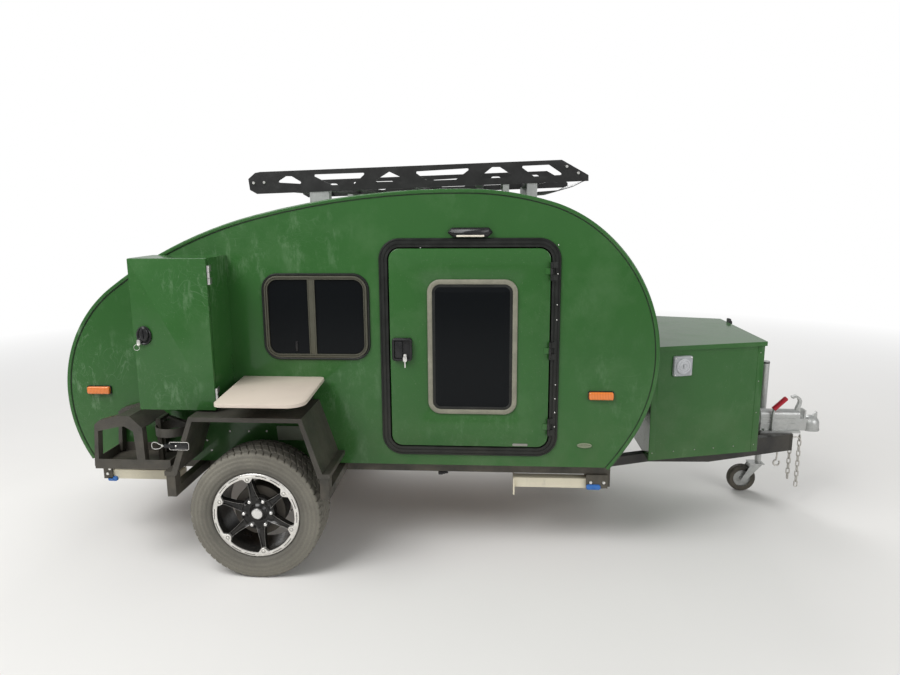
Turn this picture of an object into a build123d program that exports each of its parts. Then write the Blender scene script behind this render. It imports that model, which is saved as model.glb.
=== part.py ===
from build123d import *
import math
import os

# A teardrop camping trailer, in millimetres. Sizes are worked out in an axle frame: x forward from
# the axle, y to the left from the middle, z up from the ground. The last step moves every piece
# so that the origin lies on the ground under the middle of the trailer's length.

os.makedirs("parts", exist_ok=True)

# Body shell
BODY_W = 1500.0
FLOOR_Z = 500.0
FLOOR_T = 30.0
WALL_T = 35.0
SHELL_T = 30.0
OUTLINE_START_X = -994.0
OUTLINE_HEADING = 120.5
# radius, sweep: the outline's arcs from the rear bottom edge over the roof to the front bottom edge
OUTLINE_ARCS = (
    (705.0, 84.3),
    (2220.0, 22.3),
    (4140.0, 15.0),
    (1505.0, 15.0),
    (720.0, 24.3),
    (825.0, 79.3),
    (1455.0, 8.6),
)
HATCH_X = -430.0
HATCH_SILL_Z = 640.0
HATCH_GAP = 6.0
MOULD_W = 20.0
MOULD_T = 6.0
MOULD_LIP = 16.0
# How far the outline's face is drawn below the floor before it is cut off
OUTLINE_SPARE = 120.0
# Reach of the drawing rectangles that cut everything on one side
FAR = 5000.0

# Hinges: pin radius, knuckle radius, length, running clearance, tab thickness
PIN_R = 4.0
KNUCKLE_R = 7.0
HINGE_L = 90.0
PIN_GAP = 0.1
TAB_T = 4.0
HINGE_STEP = 1.0
HATCH_HINGE_Y = (-480.0, 0.0, 480.0)
LID_HINGE_Y = (-330.0, 330.0)

# Cabin inside
PARTITION_X = -330.0
PARTITION_T = 18.0
COUNTER_Z = 1010.0
COUNTER_T = 24.0
COUNTER_REACH = 440.0
MATTRESS_T = 110.0
MATTRESS_X0 = -290.0
MATTRESS_X1 = 1700.0
INSIDE_GAP = 12.0

# Side doors
DOOR_X0 = 640.0
DOOR_X1 = 1457.0
DOOR_Z0 = 602.0
DOOR_Z1 = 1635.0
DOOR_R = 62.0
DOOR_T = 30.0
DOOR_GAP = 6.0
DOOR_PROUD = 10.0
FRAME_W = 45.0
FRAME_T = 12.0
FRAME_LINER = 6.0
DOOR_WIN = (838.0, 1291.0, 783.0, 1477.0)
DOOR_WIN_R = 66.0
DOOR_WIN_BAND = 25.0
DOOR_WIN_T = 10.0
GLASS_T = 5.0
LOCK_BOX = (658.0, 760.0, 1063.0, 1180.0)
LOCK_T = 26.0
DOOR_HINGE_Z = (720.0, 1118.0, 1517.0)

# Sliding side window
SLIDE_WIN = (-9.0, 545.0, 1060.0, 1506.0)
SLIDE_WIN_R = 84.0
SLIDE_BAND = 32.0
SLIDE_T = 12.0
MULLION_X = 247.0
MULLION_W = 38.0

# Side lockers
LOCKER_X0 = -565.0
LOCKER_X1 = -182.0
LOCKER_Z0 = 857.0
LOCKER_Z1 = 1599.0
LOCKER_D = 254.0
LOCKER_WALL = 12.0
LOCKER_DOOR_T = 18.0
LOCKER_GAP = 6.0
LOCKER_HINGE_Z = (922.0, 1519.0)
LOCKER_LOCK_X = -510.0
LOCKER_LOCK_Z = 1229.0
LOCKER_LOCK_R = 46.0
LOCKER_LOCK_T = 20.0

# Wheels and axle
TYRE_R = 332.0
TYRE_W = 222.0
WHEEL_Y = 954.0
RIM_R = 220.5
RIM_SEAT_R = 203.0
RIM_LIP_W = 12.0
TYRE_SEAT = 0.3
RIM_FACE_Y = 1050.0
RIM_BACK_Y = 864.0
RIM_WALL = 10.0
HUB_FACE_Y = 980.0
HUB_DISC_R = 88.0
HUB_DISC_T = 38.0
CAP_R = 28.5
CAP_T = 17.0
SPOKES = 6
SPOKE_TURN = 39.0
SPOKE_Y0 = 1032.0
SPOKE_T = 28.0
# radius, half width along a spoke, from the hub disc to the barrel
SPOKE_SHAPE = ((70.0, 19.0), (165.0, 10.0), (199.0, 12.0))
SPOKE_FOOT_R = 174.0
SPOKE_FOOT_W = 13.0
SPOKE_FOOT_Y = 1041.0
PAD_R = 11.5
PAD_AT_R = 190.5
PAD_PROUD = 2.0
DRUM_R = 130.0
DRUM_IN_Y = 890.0
STUB_R = 24.0
STUB_IN = 60.0
BEAM_S = 60.0
BEAM_X = 170.0
BEAM_Z = 410.0
ARM_T = 30.0
ARM_Y = 790.0

# Fenders
FENDER_D = 340.0
FENDER_TOP_Z = 848.0
FENDER_TOP_X0 = -285.0
FENDER_TOP_X1 = 265.0
FENDER_FOOT_Z = 549.0
FENDER_FOOT_X0 = -398.0
FENDER_FOOT_X1 = 363.0
FENDER_FOOT_L = 56.0
FENDER_LIP_H = 22.0
FENDER_LIP_W = 22.0
FENDER_T = 4.0
OUTRIGGER_S = 44.0

# Side tables
# x of the board's corners: rear by the wall, rear outside, front outside, front by the wall
TABLE_X0 = -130.0
TABLE_X0_OUT = -84.0
TABLE_X1_OUT = 331.0
TABLE_X1 = 300.0
TABLE_D = 520.0
TABLE_Z = 970.0
TABLE_T = 18.0
TABLE_R = 34.0
TABLE_R_FRONT = 80.0
TABLE_BRACKET_L = 330.0
TABLE_BRACKET_H = 100.0
TABLE_BRACKET_T = 4.0
TABLE_BRACKET_IN = 70.0

# Rear holders for a can and a gas bottle
TRAY_X0 = -823.0
TRAY_X1 = -432.0
TRAY_Z = 598.0
TRAY_T = 50.0
TRAY_WALL = 4.0
TRAY_D = 260.0
CAN_X1 = -560.0
HOLDER_TOP_Z = 824.0
HOOP_D = 40.0
# x, height over the tray's top along the can frame's outer and inner edge
HOOP_OUT = (
    (-825.0, -36.0),
    (-806.0, 180.0),
    (-780.0, 201.0),
    (-685.0, 226.0),
    (-622.0, 225.0),
    (-562.0, 165.0),
    (-560.0, -36.0),
)
HOOP_IN = (
    (-600.0, -37.0),
    (-610.0, 146.0),
    (-654.0, 172.0),
    (-680.0, 171.0),
    (-790.0, 146.0),
    (-804.0, -37.0),
)
COVER_T = 4.0
POST_X = -546.0
POST_W = 23.0
POST_OUT = 140.0
RING_R = 84.0
RING_T = 4.0
RING_X = -464.0
RING_Z = 702.0
RING_H = 44.0
ARM_OUT = 50.0
ARM_END_X = -420.0
ARM_DROP = 46.0
ARM_H = 16.0

# Chassis
RAIL_W = 50.0
RAIL_H = 60.0
RAIL_Y = 665.0
RAIL_X0 = -960.0
RAIL_X1 = 1740.0
CROSS_X = (-935.0, -430.0, 140.0, 700.0, 1250.0)
CROSS_W = 50.0
NOSE_CROSS_H = 130.0
DRAW_H = 103.0
DRAW_END_H = 50.0
DRAW_TAPER_X = (2040.0, 2420.0)
DRAW_W = 50.0
DRAW_Z0 = 370.0
DRAW_Y = 520.0
DRAW_END_X = 2960.0
DRAW_END_Y = 55.0
NOSE_X0 = 2790.0
NOSE_W = 160.0
NOSE_PROUD = 20.0

# Front toolbox
BOX_X0 = 2012.0
BOX_X1 = 2652.0
BOX_Y0 = 566.0
BOX_Y1 = 386.0
BOX_Z1 = 1098.0
BOX_WALL = 3.0
LID_H = 20.0
LID_OVER = 9.0
LID_REAR = 4.0
LID_GAP = 8.0

# Coupling, levers and jockey wheel
BALL_R = 25.0
BALL_X = 3110.0
SOCKET_Z0 = 481.0
SOCKET_H = 42.0
HEAD_R = 50.0
HEAD_Z = 521.0
HEAD_FLANGE_T = 9.0
COUPLER_X0 = 2800.0
COUPLER_BASE_W = 124.0
COUPLER_BASE_T = 12.0
COUPLER_W = 78.0
COUPLER_TOP_Z = 604.0
COUPLER_X1 = 3030.0
COUPLER_R = 26.0
NECK_W = 66.0
NECK_TOP_Z = 556.0
RIDGE_T = 5.0
RIDGE_H = 7.0
RIDGE_Z = (522.0, 552.0)
FIN_X = 3058.0
FIN_T = 10.0
FIN_W = 60.0
FIN_Z1 = 608.0
LEVER_W = 26.0
# x, z along the coupler lever, from its foot on the neck round the grip
LEVER_LINE = (
    (3036.0, 0.3),
    (3038.0, 60.0),
    (3044.0, 84.0),
    (3046.0, 104.0),
    (3036.0, 126.0),
    (3010.0, 142.0),
    (2983.0, 132.0),
)
LEVER_BACK = (
    (2991.0, 119.0),
    (3010.0, 126.0),
    (3025.0, 114.0),
    (3030.0, 100.0),
    (3026.0, 84.0),
    (3016.0, 60.0),
    (3014.0, 48.3),
)
# x from the ball's middle, z from the head's middle, round the tip over the ball
HEAD_TIP = ((0.0, 40.0), (28.0, 76.0), (34.0, 70.0), (36.0, 20.0))
TIP_T = 14.0
GRIP_X = 2899.5
GRIP_Y = -52.0
GRIP_Z = 656.0
GRIP_R = 14.0
GRIP_L = 105.0
GRIP_STEM_T = 10.0
MAST_X = 2890.0
MAST_Y = 185.0
MAST_R = 24.0
MAST_Z0 = 330.0
MAST_Z1 = 866.0
MAST_CLAMP_L = 60.0
INNER_R = 19.0
INNER_IN = 120.0
JOCKEY_R = 88.0
JOCKEY_W = 55.0
JOCKEY_TRAIL = 100.0
JOCKEY_AXLE_R = 8.0
JOCKEY_GAP = 12.0
FORK_T = 6.0

# Corner stabiliser legs
LEG_Y = 665.0
LEG_L = 400.0
LEG_H = 52.0
LEG_W = 56.0
LEG_WALL = 4.0
LEG_Z = 388.0
LEG_REAR_X = -950.0
LEG_FRONT_X = 1688.0
LEG_FOOT_L = 92.0
LEG_FOOT_T = 8.0
LEG_PIN_R = 8.0
LEG_FOOT_W = 84.0
HANGER_T = 6.0
HANGER_GAP = 6.0
HANGER_L = 25.0
HANGER_FRONT_L = 88.0
HANGER_DROP = 22.0

# Roof rack
RACK_Y = 510.0
RACK_PLATE_T = 5.0
# x, z along the side plate's edge, from the rear lower corner
RACK_SIDE = (
    (-88.0, 1905.0),
    (-125.0, 1926.0),
    (-131.0, 1983.0),
    (-93.0, 2014.0),
    (-65.0, 2019.0),
    (1515.0, 2065.0),
    (1652.0, 1988.0),
    (1653.0, 1958.0),
)
# x, z round each opening in the side plate
RACK_HOLES = (
    ((20.0, 1964.0), (73.0, 1996.0), (104.0, 1995.0), (170.0, 1955.0)),
    ((207.0, 2003.0), (500.0, 2010.0), (435.0, 1952.0), (318.0, 1948.0)),
    ((536.0, 1962.0), (622.0, 2014.0), (726.0, 1965.0)),
    ((752.0, 2013.0), (1050.0, 2028.0), (972.0, 1971.0), (820.0, 1967.0)),
    ((1086.0, 1975.0), (1158.0, 2032.0), (1199.0, 2032.0), (1276.0, 1981.0)),
    ((1302.0, 2036.0), (1450.0, 2041.0), (1526.0, 1990.0), (1374.0, 1983.0)),
)
RACK_HOLE_R = 6.0
RACK_BAR_X = (60.0, 400.0, 740.0, 1080.0, 1420.0)
RACK_BAR_W = 40.0
RACK_BAR_H = 22.0
# x limits of each foot pair
RACK_FEET = ((195.0, 298.0), (1215.0, 1247.0), (1340.0, 1392.0))
RACK_FOOT_W = 60.0
RACK_LIFT = 8.0
# x, z along the air deflector's underside, from the rack's front edge back towards the roof
DEFLECTOR = ((1650.0, 1962.0), (1624.0, 1954.0), (1573.0, 1929.0), (1501.0, 1909.0), (1396.0, 1902.0))
DEFLECTOR_T = 4.0

# Small fittings
LAMP_Z = 886.0
LAMP_REAR_X = -918.0
LAMP_FRONT_X = 1717.0
LAMP_L = 130.0
LAMP_H = 46.0
LAMP_T = 22.0
PORCH_X = 1054.0
PORCH_Z = 1707.0
PORCH_L = 226.0
PORCH_H = 48.0
PORCH_T = 30.0
INLET_IN = 163.0
INLET_Z = 992.0
INLET_S = 108.0
INLET_T = 24.0
TAIL_Y = 560.0
TAIL_Z = 575.0
TAIL_W = 190.0
TAIL_H = 80.0
TAIL_T = 26.0
TAIL_IN = 60.0
LINK_L = 46.0
LINK_W = 26.0
LINK_T = 7.0
LINK_SLACK = 1.0
# x, y, length of each hanging chain strand
CHAINS = ((3000.0, -6.0, 300.0), (3034.0, -50.0, 330.0))
CHAIN_TOP_Z = 440.0
CHAIN_PLATE_T = 10.0
HOOK_X = 2908.0
HOOK_Y = -50.0
HOOK_Z = 280.0
HOOK_R = 24.0
HOOK_T = 11.0

HALF_W = BODY_W / 2
RAIL_Z0 = FLOOR_Z - RAIL_H
LOCKER_FACE_Y = HALF_W + LOCKER_D
FENDER_Y = HALF_W + FENDER_D
DRAW_Z1 = DRAW_Z0 + DRAW_H
NOSE_X1 = DRAW_END_X + NOSE_PROUD
INLET_X = BOX_X0 + INLET_IN


def outline_points(grow):
    """Give the outline's arcs, moved outward by grow, as (start, middle, end) points in x and z."""
    x, z = OUTLINE_START_X, FLOOR_Z
    heading = math.radians(OUTLINE_HEADING)
    arcs = []
    for radius, sweep in OUTLINE_ARCS:
        turn = math.radians(sweep)
        cx = x + radius * math.sin(heading)
        cz = z - radius * math.cos(heading)
        ends = []
        for share in (0.0, 0.5, 1.0):
            a = heading - turn * share
            ends.append((cx - (radius + grow) * math.sin(a), cz + (radius + grow) * math.cos(a)))
        arcs.append(tuple(ends))
        heading -= turn
        x = cx - radius * math.sin(heading)
        z = cz + radius * math.cos(heading)
    return arcs


def at(x, z):
    """Place a drawing point in the side plane, y = 0."""
    return (x, 0.0, z)


def outline_face(grow=0.0):
    """Draw the teardrop outline as one face in the side plane, cut off level at the floor."""
    arcs = outline_points(grow)
    edges = [ThreePointArc(at(*a), at(*b), at(*c)) for a, b, c in arcs]
    first = arcs[0][0]
    last = arcs[-1][2]
    low = FLOOR_Z - OUTLINE_SPARE
    edges.append(Line(at(*last), at(last[0], low)))
    edges.append(Line(at(last[0], low), at(first[0], low)))
    edges.append(Line(at(first[0], low), at(*first)))
    return make_face(edges) - rect(-FAR, FAR, low - OUTLINE_SPARE, FLOOR_Z)


def rect(x0, x1, z0, z1, radius=0.0):
    """Draw a rectangle in the side plane, with rounded corners if radius is given."""
    w = x1 - x0
    h = z1 - z0
    shape = RectangleRounded(w, h, radius) if radius else Rectangle(w, h)
    return Pos((x0 + x1) / 2, 0, (z0 + z1) / 2) * (Plane.XZ * shape)


def poly(points):
    """Draw a straight-edged face in the side plane."""
    return make_face(Polyline([at(*p) for p in points], close=True))


def prism(face, y0, y1):
    """Extrude a face of the side plane from y0 to y1."""
    return extrude(Pos(0, y0, 0) * face, amount=y1 - y0, dir=(0, 1, 0))


def block(x0, x1, y0, y1, z0, z1):
    """Make a box from its limits."""
    return Pos((x0 + x1) / 2, (y0 + y1) / 2, (z0 + z1) / 2) * Box(x1 - x0, y1 - y0, z1 - z0)


def rod_y(x, z, radius, y0, y1):
    """Make a cylinder along y."""
    return Pos(x, (y0 + y1) / 2, z) * Rot(90, 0, 0) * Cylinder(radius, y1 - y0)


def rod_z(x, y, radius, z0, z1):
    """Make a cylinder along z."""
    return Pos(x, y, (z0 + z1) / 2) * Cylinder(radius, z1 - z0)


def left(shape):
    """Mirror a right-hand piece to the left-hand side."""
    return mirror(shape, about=Plane.XZ)


def grow_box(box, amount):
    """Move the four limits x0, x1, z0, z1 outward by amount."""
    x0, x1, z0, z1 = box
    return (x0 - amount, x1 + amount, z0 - amount, z1 + amount)


def hinge():
    """Make a butt hinge along z at the origin: its fixed pin with end knuckles, and its middle knuckle."""
    third = HINGE_L / 6
    fixed = Cylinder(PIN_R, HINGE_L)
    for side in (-1, 1):
        length = HINGE_L / 2 - third - HINGE_STEP
        fixed += Pos(0, 0, side * (HINGE_L / 2 - length / 2)) * Cylinder(KNUCKLE_R, length)
    moving = Cylinder(KNUCKLE_R, 2 * third) - Cylinder(PIN_R + PIN_GAP, 2 * third + 2)
    return fixed, moving


def tab(x, y, length_z, z=0.0):
    """Make a hinge tab: a flat bar from the pin axis out to (x, y), clear of the pin."""
    far = math.hypot(x, y)
    near = PIN_R + PIN_GAP
    bar = Pos((near + far) / 2, 0, z) * Box(far - near, TAB_T, length_z)
    return Rot(0, 0, math.degrees(math.atan2(y, x))) * bar


def hinge_with_tabs(fixed_to, moving_to):
    """Make a hinge whose end knuckles reach the point fixed_to and whose middle one reaches moving_to."""
    third = HINGE_L / 6
    fixed, moving = hinge()
    end_l = HINGE_L / 2 - third - HINGE_STEP
    for side in (-1, 1):
        fixed += tab(*fixed_to, end_l, side * (HINGE_L / 2 - end_l / 2))
    moving += tab(*moving_to, 2 * third)
    return fixed, moving


# Right-hand pieces lie at negative y and are written from the wall's outer face outward.
pieces = {}


def pair(name, shape):
    """Keep a right-hand piece and its mirror image as two nodes."""
    pieces[name + "_right"] = shape
    pieces[name + "_left"] = left(shape)


def both(name, shape):
    """Keep a right-hand piece and its mirror image as one node of solids that don't touch."""
    pieces[name] = Compound(children=[*shape.solids(), *left(shape).solids()])


# Side walls with door and window openings
door_hole = grow_box((DOOR_X0, DOOR_X1, DOOR_Z0, DOOR_Z1), FRAME_LINER)
wall_face = outline_face()
wall_face -= rect(*door_hole, DOOR_R + FRAME_LINER)
wall_face -= rect(*grow_box(SLIDE_WIN, -SLIDE_BAND), SLIDE_WIN_R - SLIDE_BAND)
pair("side_wall", prism(wall_face, -HALF_W, -HALF_W + WALL_T))

# Roof and front shell, rear hatch and rear sill between the walls
INNER_Y = HALF_W - WALL_T
shell_ring = outline_face() - outline_face(-SHELL_T)
shell_ring -= rect(-FAR, FAR, FLOOR_Z - 1, FLOOR_Z + FLOOR_T)
roof_face = shell_ring & rect(HATCH_X, FAR, FLOOR_Z, FAR)
sill_face = shell_ring & rect(-FAR, 0, FLOOR_Z, HATCH_SILL_Z)
roof = prism(roof_face, -INNER_Y, INNER_Y)
sill = prism(sill_face, -INNER_Y, INNER_Y)
hatch_face = shell_ring & rect(-FAR, HATCH_X - HATCH_GAP, HATCH_SILL_Z + HATCH_GAP, FAR)
hatch_y = INNER_Y - HATCH_GAP
hatch = prism(hatch_face, -hatch_y, hatch_y)


def outline_z(x):
    """Give the height of the outline's upper edge at x."""
    return (outline_face() & rect(x - 0.5, x + 0.5, FLOOR_Z, FAR)).bounding_box().max.Z


HATCH_PIN_X = HATCH_X - HATCH_GAP / 2
HATCH_PIN_Z = outline_z(HATCH_PIN_X) + KNUCKLE_R + 1.0
roof_slope = (outline_z(HATCH_X + 60.0) - outline_z(HATCH_X - 60.0)) / 120.0
for y in HATCH_HINGE_Y:
    drop = KNUCKLE_R + 4.0
    reach = 34.0
    fixed, moving = hinge_with_tabs(
        (reach, drop - reach * roof_slope), (-reach, drop + reach * roof_slope)
    )
    turn = Pos(HATCH_PIN_X, y, HATCH_PIN_Z) * Rot(-90, 0, 0)
    roof += turn * fixed
    hatch += turn * moving
pieces["body_shell"] = Compound(children=[roof.solid(), sill.solid()])
pieces["rear_hatch"] = hatch

# Floor and inside panels
floor_inner = outline_face(-SHELL_T)
floor_face = outline_face() & rect(-FAR, FAR, FLOOR_Z, FLOOR_Z + FLOOR_T)
pieces["floor_panel"] = prism(floor_face, -INNER_Y, INNER_Y)
partition = floor_inner & rect(PARTITION_X, PARTITION_X + PARTITION_T, FLOOR_Z + FLOOR_T, FAR)
counter = floor_inner & rect(-FAR, PARTITION_X, COUNTER_Z, COUNTER_Z + COUNTER_T)
counter = counter & rect(HATCH_X - COUNTER_REACH, PARTITION_X, 0, FAR)
pieces["galley_partition"] = prism(partition + counter, -INNER_Y, INNER_Y)
mattress_y = INNER_Y - INSIDE_GAP
mattress_z = FLOOR_Z + FLOOR_T
pieces["mattress"] = block(
    MATTRESS_X0, MATTRESS_X1, -mattress_y, mattress_y, mattress_z, mattress_z + MATTRESS_T
)

# Edge mouldings round both side walls
mould_side = outline_face(MOULD_T) - outline_face(-MOULD_W)
mould_side -= rect(-FAR, FAR, 0, FLOOR_Z + 1)
mould_lip = outline_face(MOULD_T) - outline_face()
mould_lip -= rect(-FAR, FAR, 0, FLOOR_Z + 1)
moulding = prism(mould_side, -HALF_W - MOULD_T, -HALF_W)
moulding += prism(mould_lip, -HALF_W, -HALF_W + MOULD_LIP)
both("edge_mouldings", moulding)

# Door frames, doors, door windows and locks
door_edge = (DOOR_X0, DOOR_X1, DOOR_Z0, DOOR_Z1)
door_inner = rect(*door_edge, DOOR_R)
frame_flange = rect(*grow_box(door_edge, FRAME_W), DOOR_R + FRAME_W) - door_inner
frame_liner = rect(*door_hole, DOOR_R + FRAME_LINER) - door_inner
frame = prism(frame_flange, -HALF_W - FRAME_T, -HALF_W)
frame += prism(frame_liner, -HALF_W, -HALF_W + WALL_T)

DOOR_FACE_Y = -HALF_W - DOOR_PROUD
DOOR_PIN_X = DOOR_X1 - DOOR_GAP / 2
DOOR_PIN_Y = -HALF_W - FRAME_T - KNUCKLE_R - 1.0
leaf_hinges = Part()
for z in DOOR_HINGE_Z:
    fixed, moving = hinge_with_tabs((30.0, KNUCKLE_R + 3.0), (-30.0, KNUCKLE_R + 5.0))
    frame += Pos(DOOR_PIN_X, DOOR_PIN_Y, z) * fixed
    leaf_hinges += Pos(DOOR_PIN_X, DOOR_PIN_Y, z) * moving
both("door_frames", frame)
leaf_face = rect(*grow_box(door_edge, -DOOR_GAP), DOOR_R - DOOR_GAP)
leaf_face -= rect(*grow_box(DOOR_WIN, -DOOR_WIN_BAND), DOOR_WIN_R - DOOR_WIN_BAND)
pair("door", prism(leaf_face, DOOR_FACE_Y, DOOR_FACE_Y + DOOR_T) + leaf_hinges)
win_band = rect(*DOOR_WIN, DOOR_WIN_R)
win_band -= rect(*grow_box(DOOR_WIN, -DOOR_WIN_BAND), DOOR_WIN_R - DOOR_WIN_BAND)
pair("door_window_frame", prism(win_band, DOOR_FACE_Y - DOOR_WIN_T, DOOR_FACE_Y))
door_glass = rect(*grow_box(DOOR_WIN, -DOOR_WIN_BAND), DOOR_WIN_R - DOOR_WIN_BAND)
glass_y = DOOR_FACE_Y - DOOR_WIN_T / 2
pair("door_glass", prism(door_glass, glass_y, glass_y + GLASS_T))
lock_x0, lock_x1, lock_z0, lock_z1 = LOCK_BOX
lock = block(lock_x0, lock_x1, DOOR_FACE_Y - LOCK_T, DOOR_FACE_Y, lock_z0, lock_z1)
pair("door_lock", fillet(lock.edges().filter_by(Axis.Y), 14.0))

# Sliding side windows
slide_outer = rect(*SLIDE_WIN, SLIDE_WIN_R)
slide_hole = rect(*grow_box(SLIDE_WIN, -SLIDE_BAND), SLIDE_WIN_R - SLIDE_BAND)
slide_bar = rect(MULLION_X - MULLION_W / 2, MULLION_X + MULLION_W / 2, SLIDE_WIN[2], SLIDE_WIN[3])
slide_frame = slide_outer - slide_hole
slide_frame += slide_bar & slide_outer
both("side_window_frames", prism(slide_frame, -HALF_W - SLIDE_T, -HALF_W))
pane = slide_hole
both("side_window_glass", prism(pane, -HALF_W, -HALF_W + GLASS_T))

# Side lockers and their doors
locker_back = -HALF_W
locker_front = -LOCKER_FACE_Y + LOCKER_DOOR_T + LOCKER_GAP
locker = block(LOCKER_X0, LOCKER_X1, locker_front, locker_back, LOCKER_Z0, LOCKER_Z1)
locker -= block(
    LOCKER_X0 + LOCKER_WALL,
    LOCKER_X1 - LOCKER_WALL,
    locker_front - 1.0,
    locker_back - LOCKER_WALL,
    LOCKER_Z0 + LOCKER_WALL,
    LOCKER_Z1 - LOCKER_WALL,
)
locker_door = block(
    LOCKER_X0, LOCKER_X1, -LOCKER_FACE_Y, -LOCKER_FACE_Y + LOCKER_DOOR_T, LOCKER_Z0, LOCKER_Z1
)
LOCKER_PIN_X = LOCKER_X1 + KNUCKLE_R + 1.0
LOCKER_PIN_Y = -LOCKER_FACE_Y + KNUCKLE_R
for z in LOCKER_HINGE_Z:
    fixed, moving = hinge_with_tabs((-KNUCKLE_R - 2.0, 50.0), (-KNUCKLE_R - 3.0, 0.0))
    locker += Pos(LOCKER_PIN_X, LOCKER_PIN_Y, z) * fixed
    locker_door += Pos(LOCKER_PIN_X, LOCKER_PIN_Y, z) * moving
locker -= moulding
pair("side_locker", locker)
pair("locker_door", locker_door)
pair(
    "locker_lock",
    rod_y(
        LOCKER_LOCK_X, LOCKER_LOCK_Z, LOCKER_LOCK_R, -LOCKER_FACE_Y - LOCKER_LOCK_T, -LOCKER_FACE_Y
    ),
)

# Tyres, rims, brake drums
tyre_in = -WHEEL_Y + TYRE_W / 2
tyre_out = -WHEEL_Y - TYRE_W / 2
bead_in = -RIM_BACK_Y - TYRE_SEAT
bead_out = -RIM_FACE_Y + RIM_LIP_W + TYRE_SEAT
# radius, y along the tyre's section, from the inner bead round the tread to the outer bead
tyre_section = Polyline(
    [
        (RIM_SEAT_R, bead_in),
        (RIM_R, tyre_in - 6.0),
        (TYRE_R - 62.0, tyre_in),
        (TYRE_R - 12.0, tyre_in - 14.0),
        (TYRE_R, tyre_in - 34.0),
        (TYRE_R, tyre_out + 34.0),
        (TYRE_R - 12.0, tyre_out + 14.0),
        (TYRE_R - 62.0, tyre_out),
        (RIM_R, tyre_out + 6.0),
        (RIM_R, bead_out),
        (RIM_SEAT_R, bead_out),
    ],
    close=True,
)


def turned(section, z_centre):
    """Revolve a section drawn as (radius, y) about the wheel's own axis along y."""
    face = make_face(section)
    solid = revolve(face, axis=Axis.Y)
    return Pos(0, 0, z_centre) * solid


pair("tyre", turned(tyre_section, TYRE_R))

rim_section = Polyline(
    [
        (RIM_SEAT_R - TYRE_SEAT, -RIM_BACK_Y),
        (RIM_SEAT_R - TYRE_SEAT, -RIM_FACE_Y + RIM_LIP_W),
        (RIM_R - TYRE_SEAT, -RIM_FACE_Y + RIM_LIP_W),
        (RIM_R - TYRE_SEAT, -RIM_FACE_Y),
        (RIM_SEAT_R - RIM_WALL, -RIM_FACE_Y),
        (RIM_SEAT_R - RIM_WALL, -RIM_BACK_Y),
    ],
    close=True,
)
rim = turned(rim_section, TYRE_R)
rim += rod_y(0, TYRE_R, HUB_DISC_R, -HUB_FACE_Y - HUB_DISC_T, -HUB_FACE_Y)
spoke_edge = [(r, w) for r, w in SPOKE_SHAPE] + [(r, -w) for r, w in reversed(SPOKE_SHAPE)]
spoke = prism(poly(spoke_edge), -SPOKE_Y0, -SPOKE_Y0 + SPOKE_T)
spoke_foot = rect(SPOKE_FOOT_R, RIM_SEAT_R - 1.0, -SPOKE_FOOT_W, SPOKE_FOOT_W)
spoke += prism(spoke_foot, -SPOKE_FOOT_Y, -SPOKE_Y0 + SPOKE_T)
spoke += rod_y(PAD_AT_R, 0, PAD_R, -RIM_FACE_Y - PAD_PROUD, -SPOKE_FOOT_Y + 1.0)
for i in range(SPOKES):
    rim += Pos(0, 0, TYRE_R) * Rot(0, -SPOKE_TURN - 360.0 / SPOKES * i, 0) * spoke
rim += rod_y(0, TYRE_R, CAP_R, -HUB_FACE_Y - HUB_DISC_T - CAP_T, -HUB_FACE_Y - 1.0)
pair("rim", rim)
drum = rod_y(0, TYRE_R, DRUM_R, -HUB_FACE_Y, -DRUM_IN_Y)
drum -= rod_y(0, TYRE_R, STUB_R + PIN_GAP, -DRUM_IN_Y - STUB_IN - 6.0, -DRUM_IN_Y + 1.0)
pair("brake_drum", drum)

# Axle beam with trailing arms and stub axles
beam_half = BEAM_S / 2
axle = block(BEAM_X - beam_half, BEAM_X + beam_half, -ARM_Y, ARM_Y, BEAM_Z - beam_half, BEAM_Z + beam_half)
for side in (-1, 1):
    y0 = side * (ARM_Y + ARM_T / 2)
    arm = make_hull(
        (Pos(BEAM_X, BEAM_Z) * Circle(BEAM_S * 0.7)).edges() + (Pos(0, TYRE_R) * Circle(36.0)).edges()
    )
    arm_face = Plane.XZ * arm
    axle += prism(arm_face, y0 - ARM_T / 2, y0 + ARM_T / 2)
    stub = sorted((side * ARM_Y, side * (DRUM_IN_Y + STUB_IN)))
    axle += rod_y(0, TYRE_R, STUB_R, *stub)
pieces["axle_beam"] = axle

# Chassis ladder, axle seats and outriggers for the fenders' feet
chassis = Part()
for side in (-1, 1):
    y = side * RAIL_Y
    chassis += block(RAIL_X0, RAIL_X1, y - RAIL_W / 2, y + RAIL_W / 2, RAIL_Z0, FLOOR_Z)
for x in CROSS_X:
    chassis += block(x - CROSS_W / 2, x + CROSS_W / 2, -RAIL_Y, RAIL_Y, RAIL_Z0, FLOOR_Z)
nose_y = RAIL_Y + RAIL_W / 2
chassis += block(RAIL_X1, RAIL_X1 + CROSS_W, -nose_y, nose_y, FLOOR_Z - NOSE_CROSS_H, FLOOR_Z)
outrigger_z1 = FENDER_FOOT_Z
for x in (FENDER_FOOT_X0, FENDER_FOOT_X1):
    for side in (-1, 1):
        y_in = side * RAIL_Y
        y_out = side * (FENDER_Y - 4.0)
        y0, y1 = sorted((y_in, y_out))
        low = RAIL_Z0
        chassis += block(
            x - OUTRIGGER_S / 2, x + OUTRIGGER_S / 2, y0, y1, low, low + OUTRIGGER_S
        )
        y0, y1 = sorted((side * (FENDER_Y - 60.0), y_out))
        chassis += block(x - OUTRIGGER_S / 2, x + OUTRIGGER_S / 2, y0, y1, low, FENDER_FOOT_Z)
beam_top = BEAM_Z + BEAM_S / 2
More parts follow.
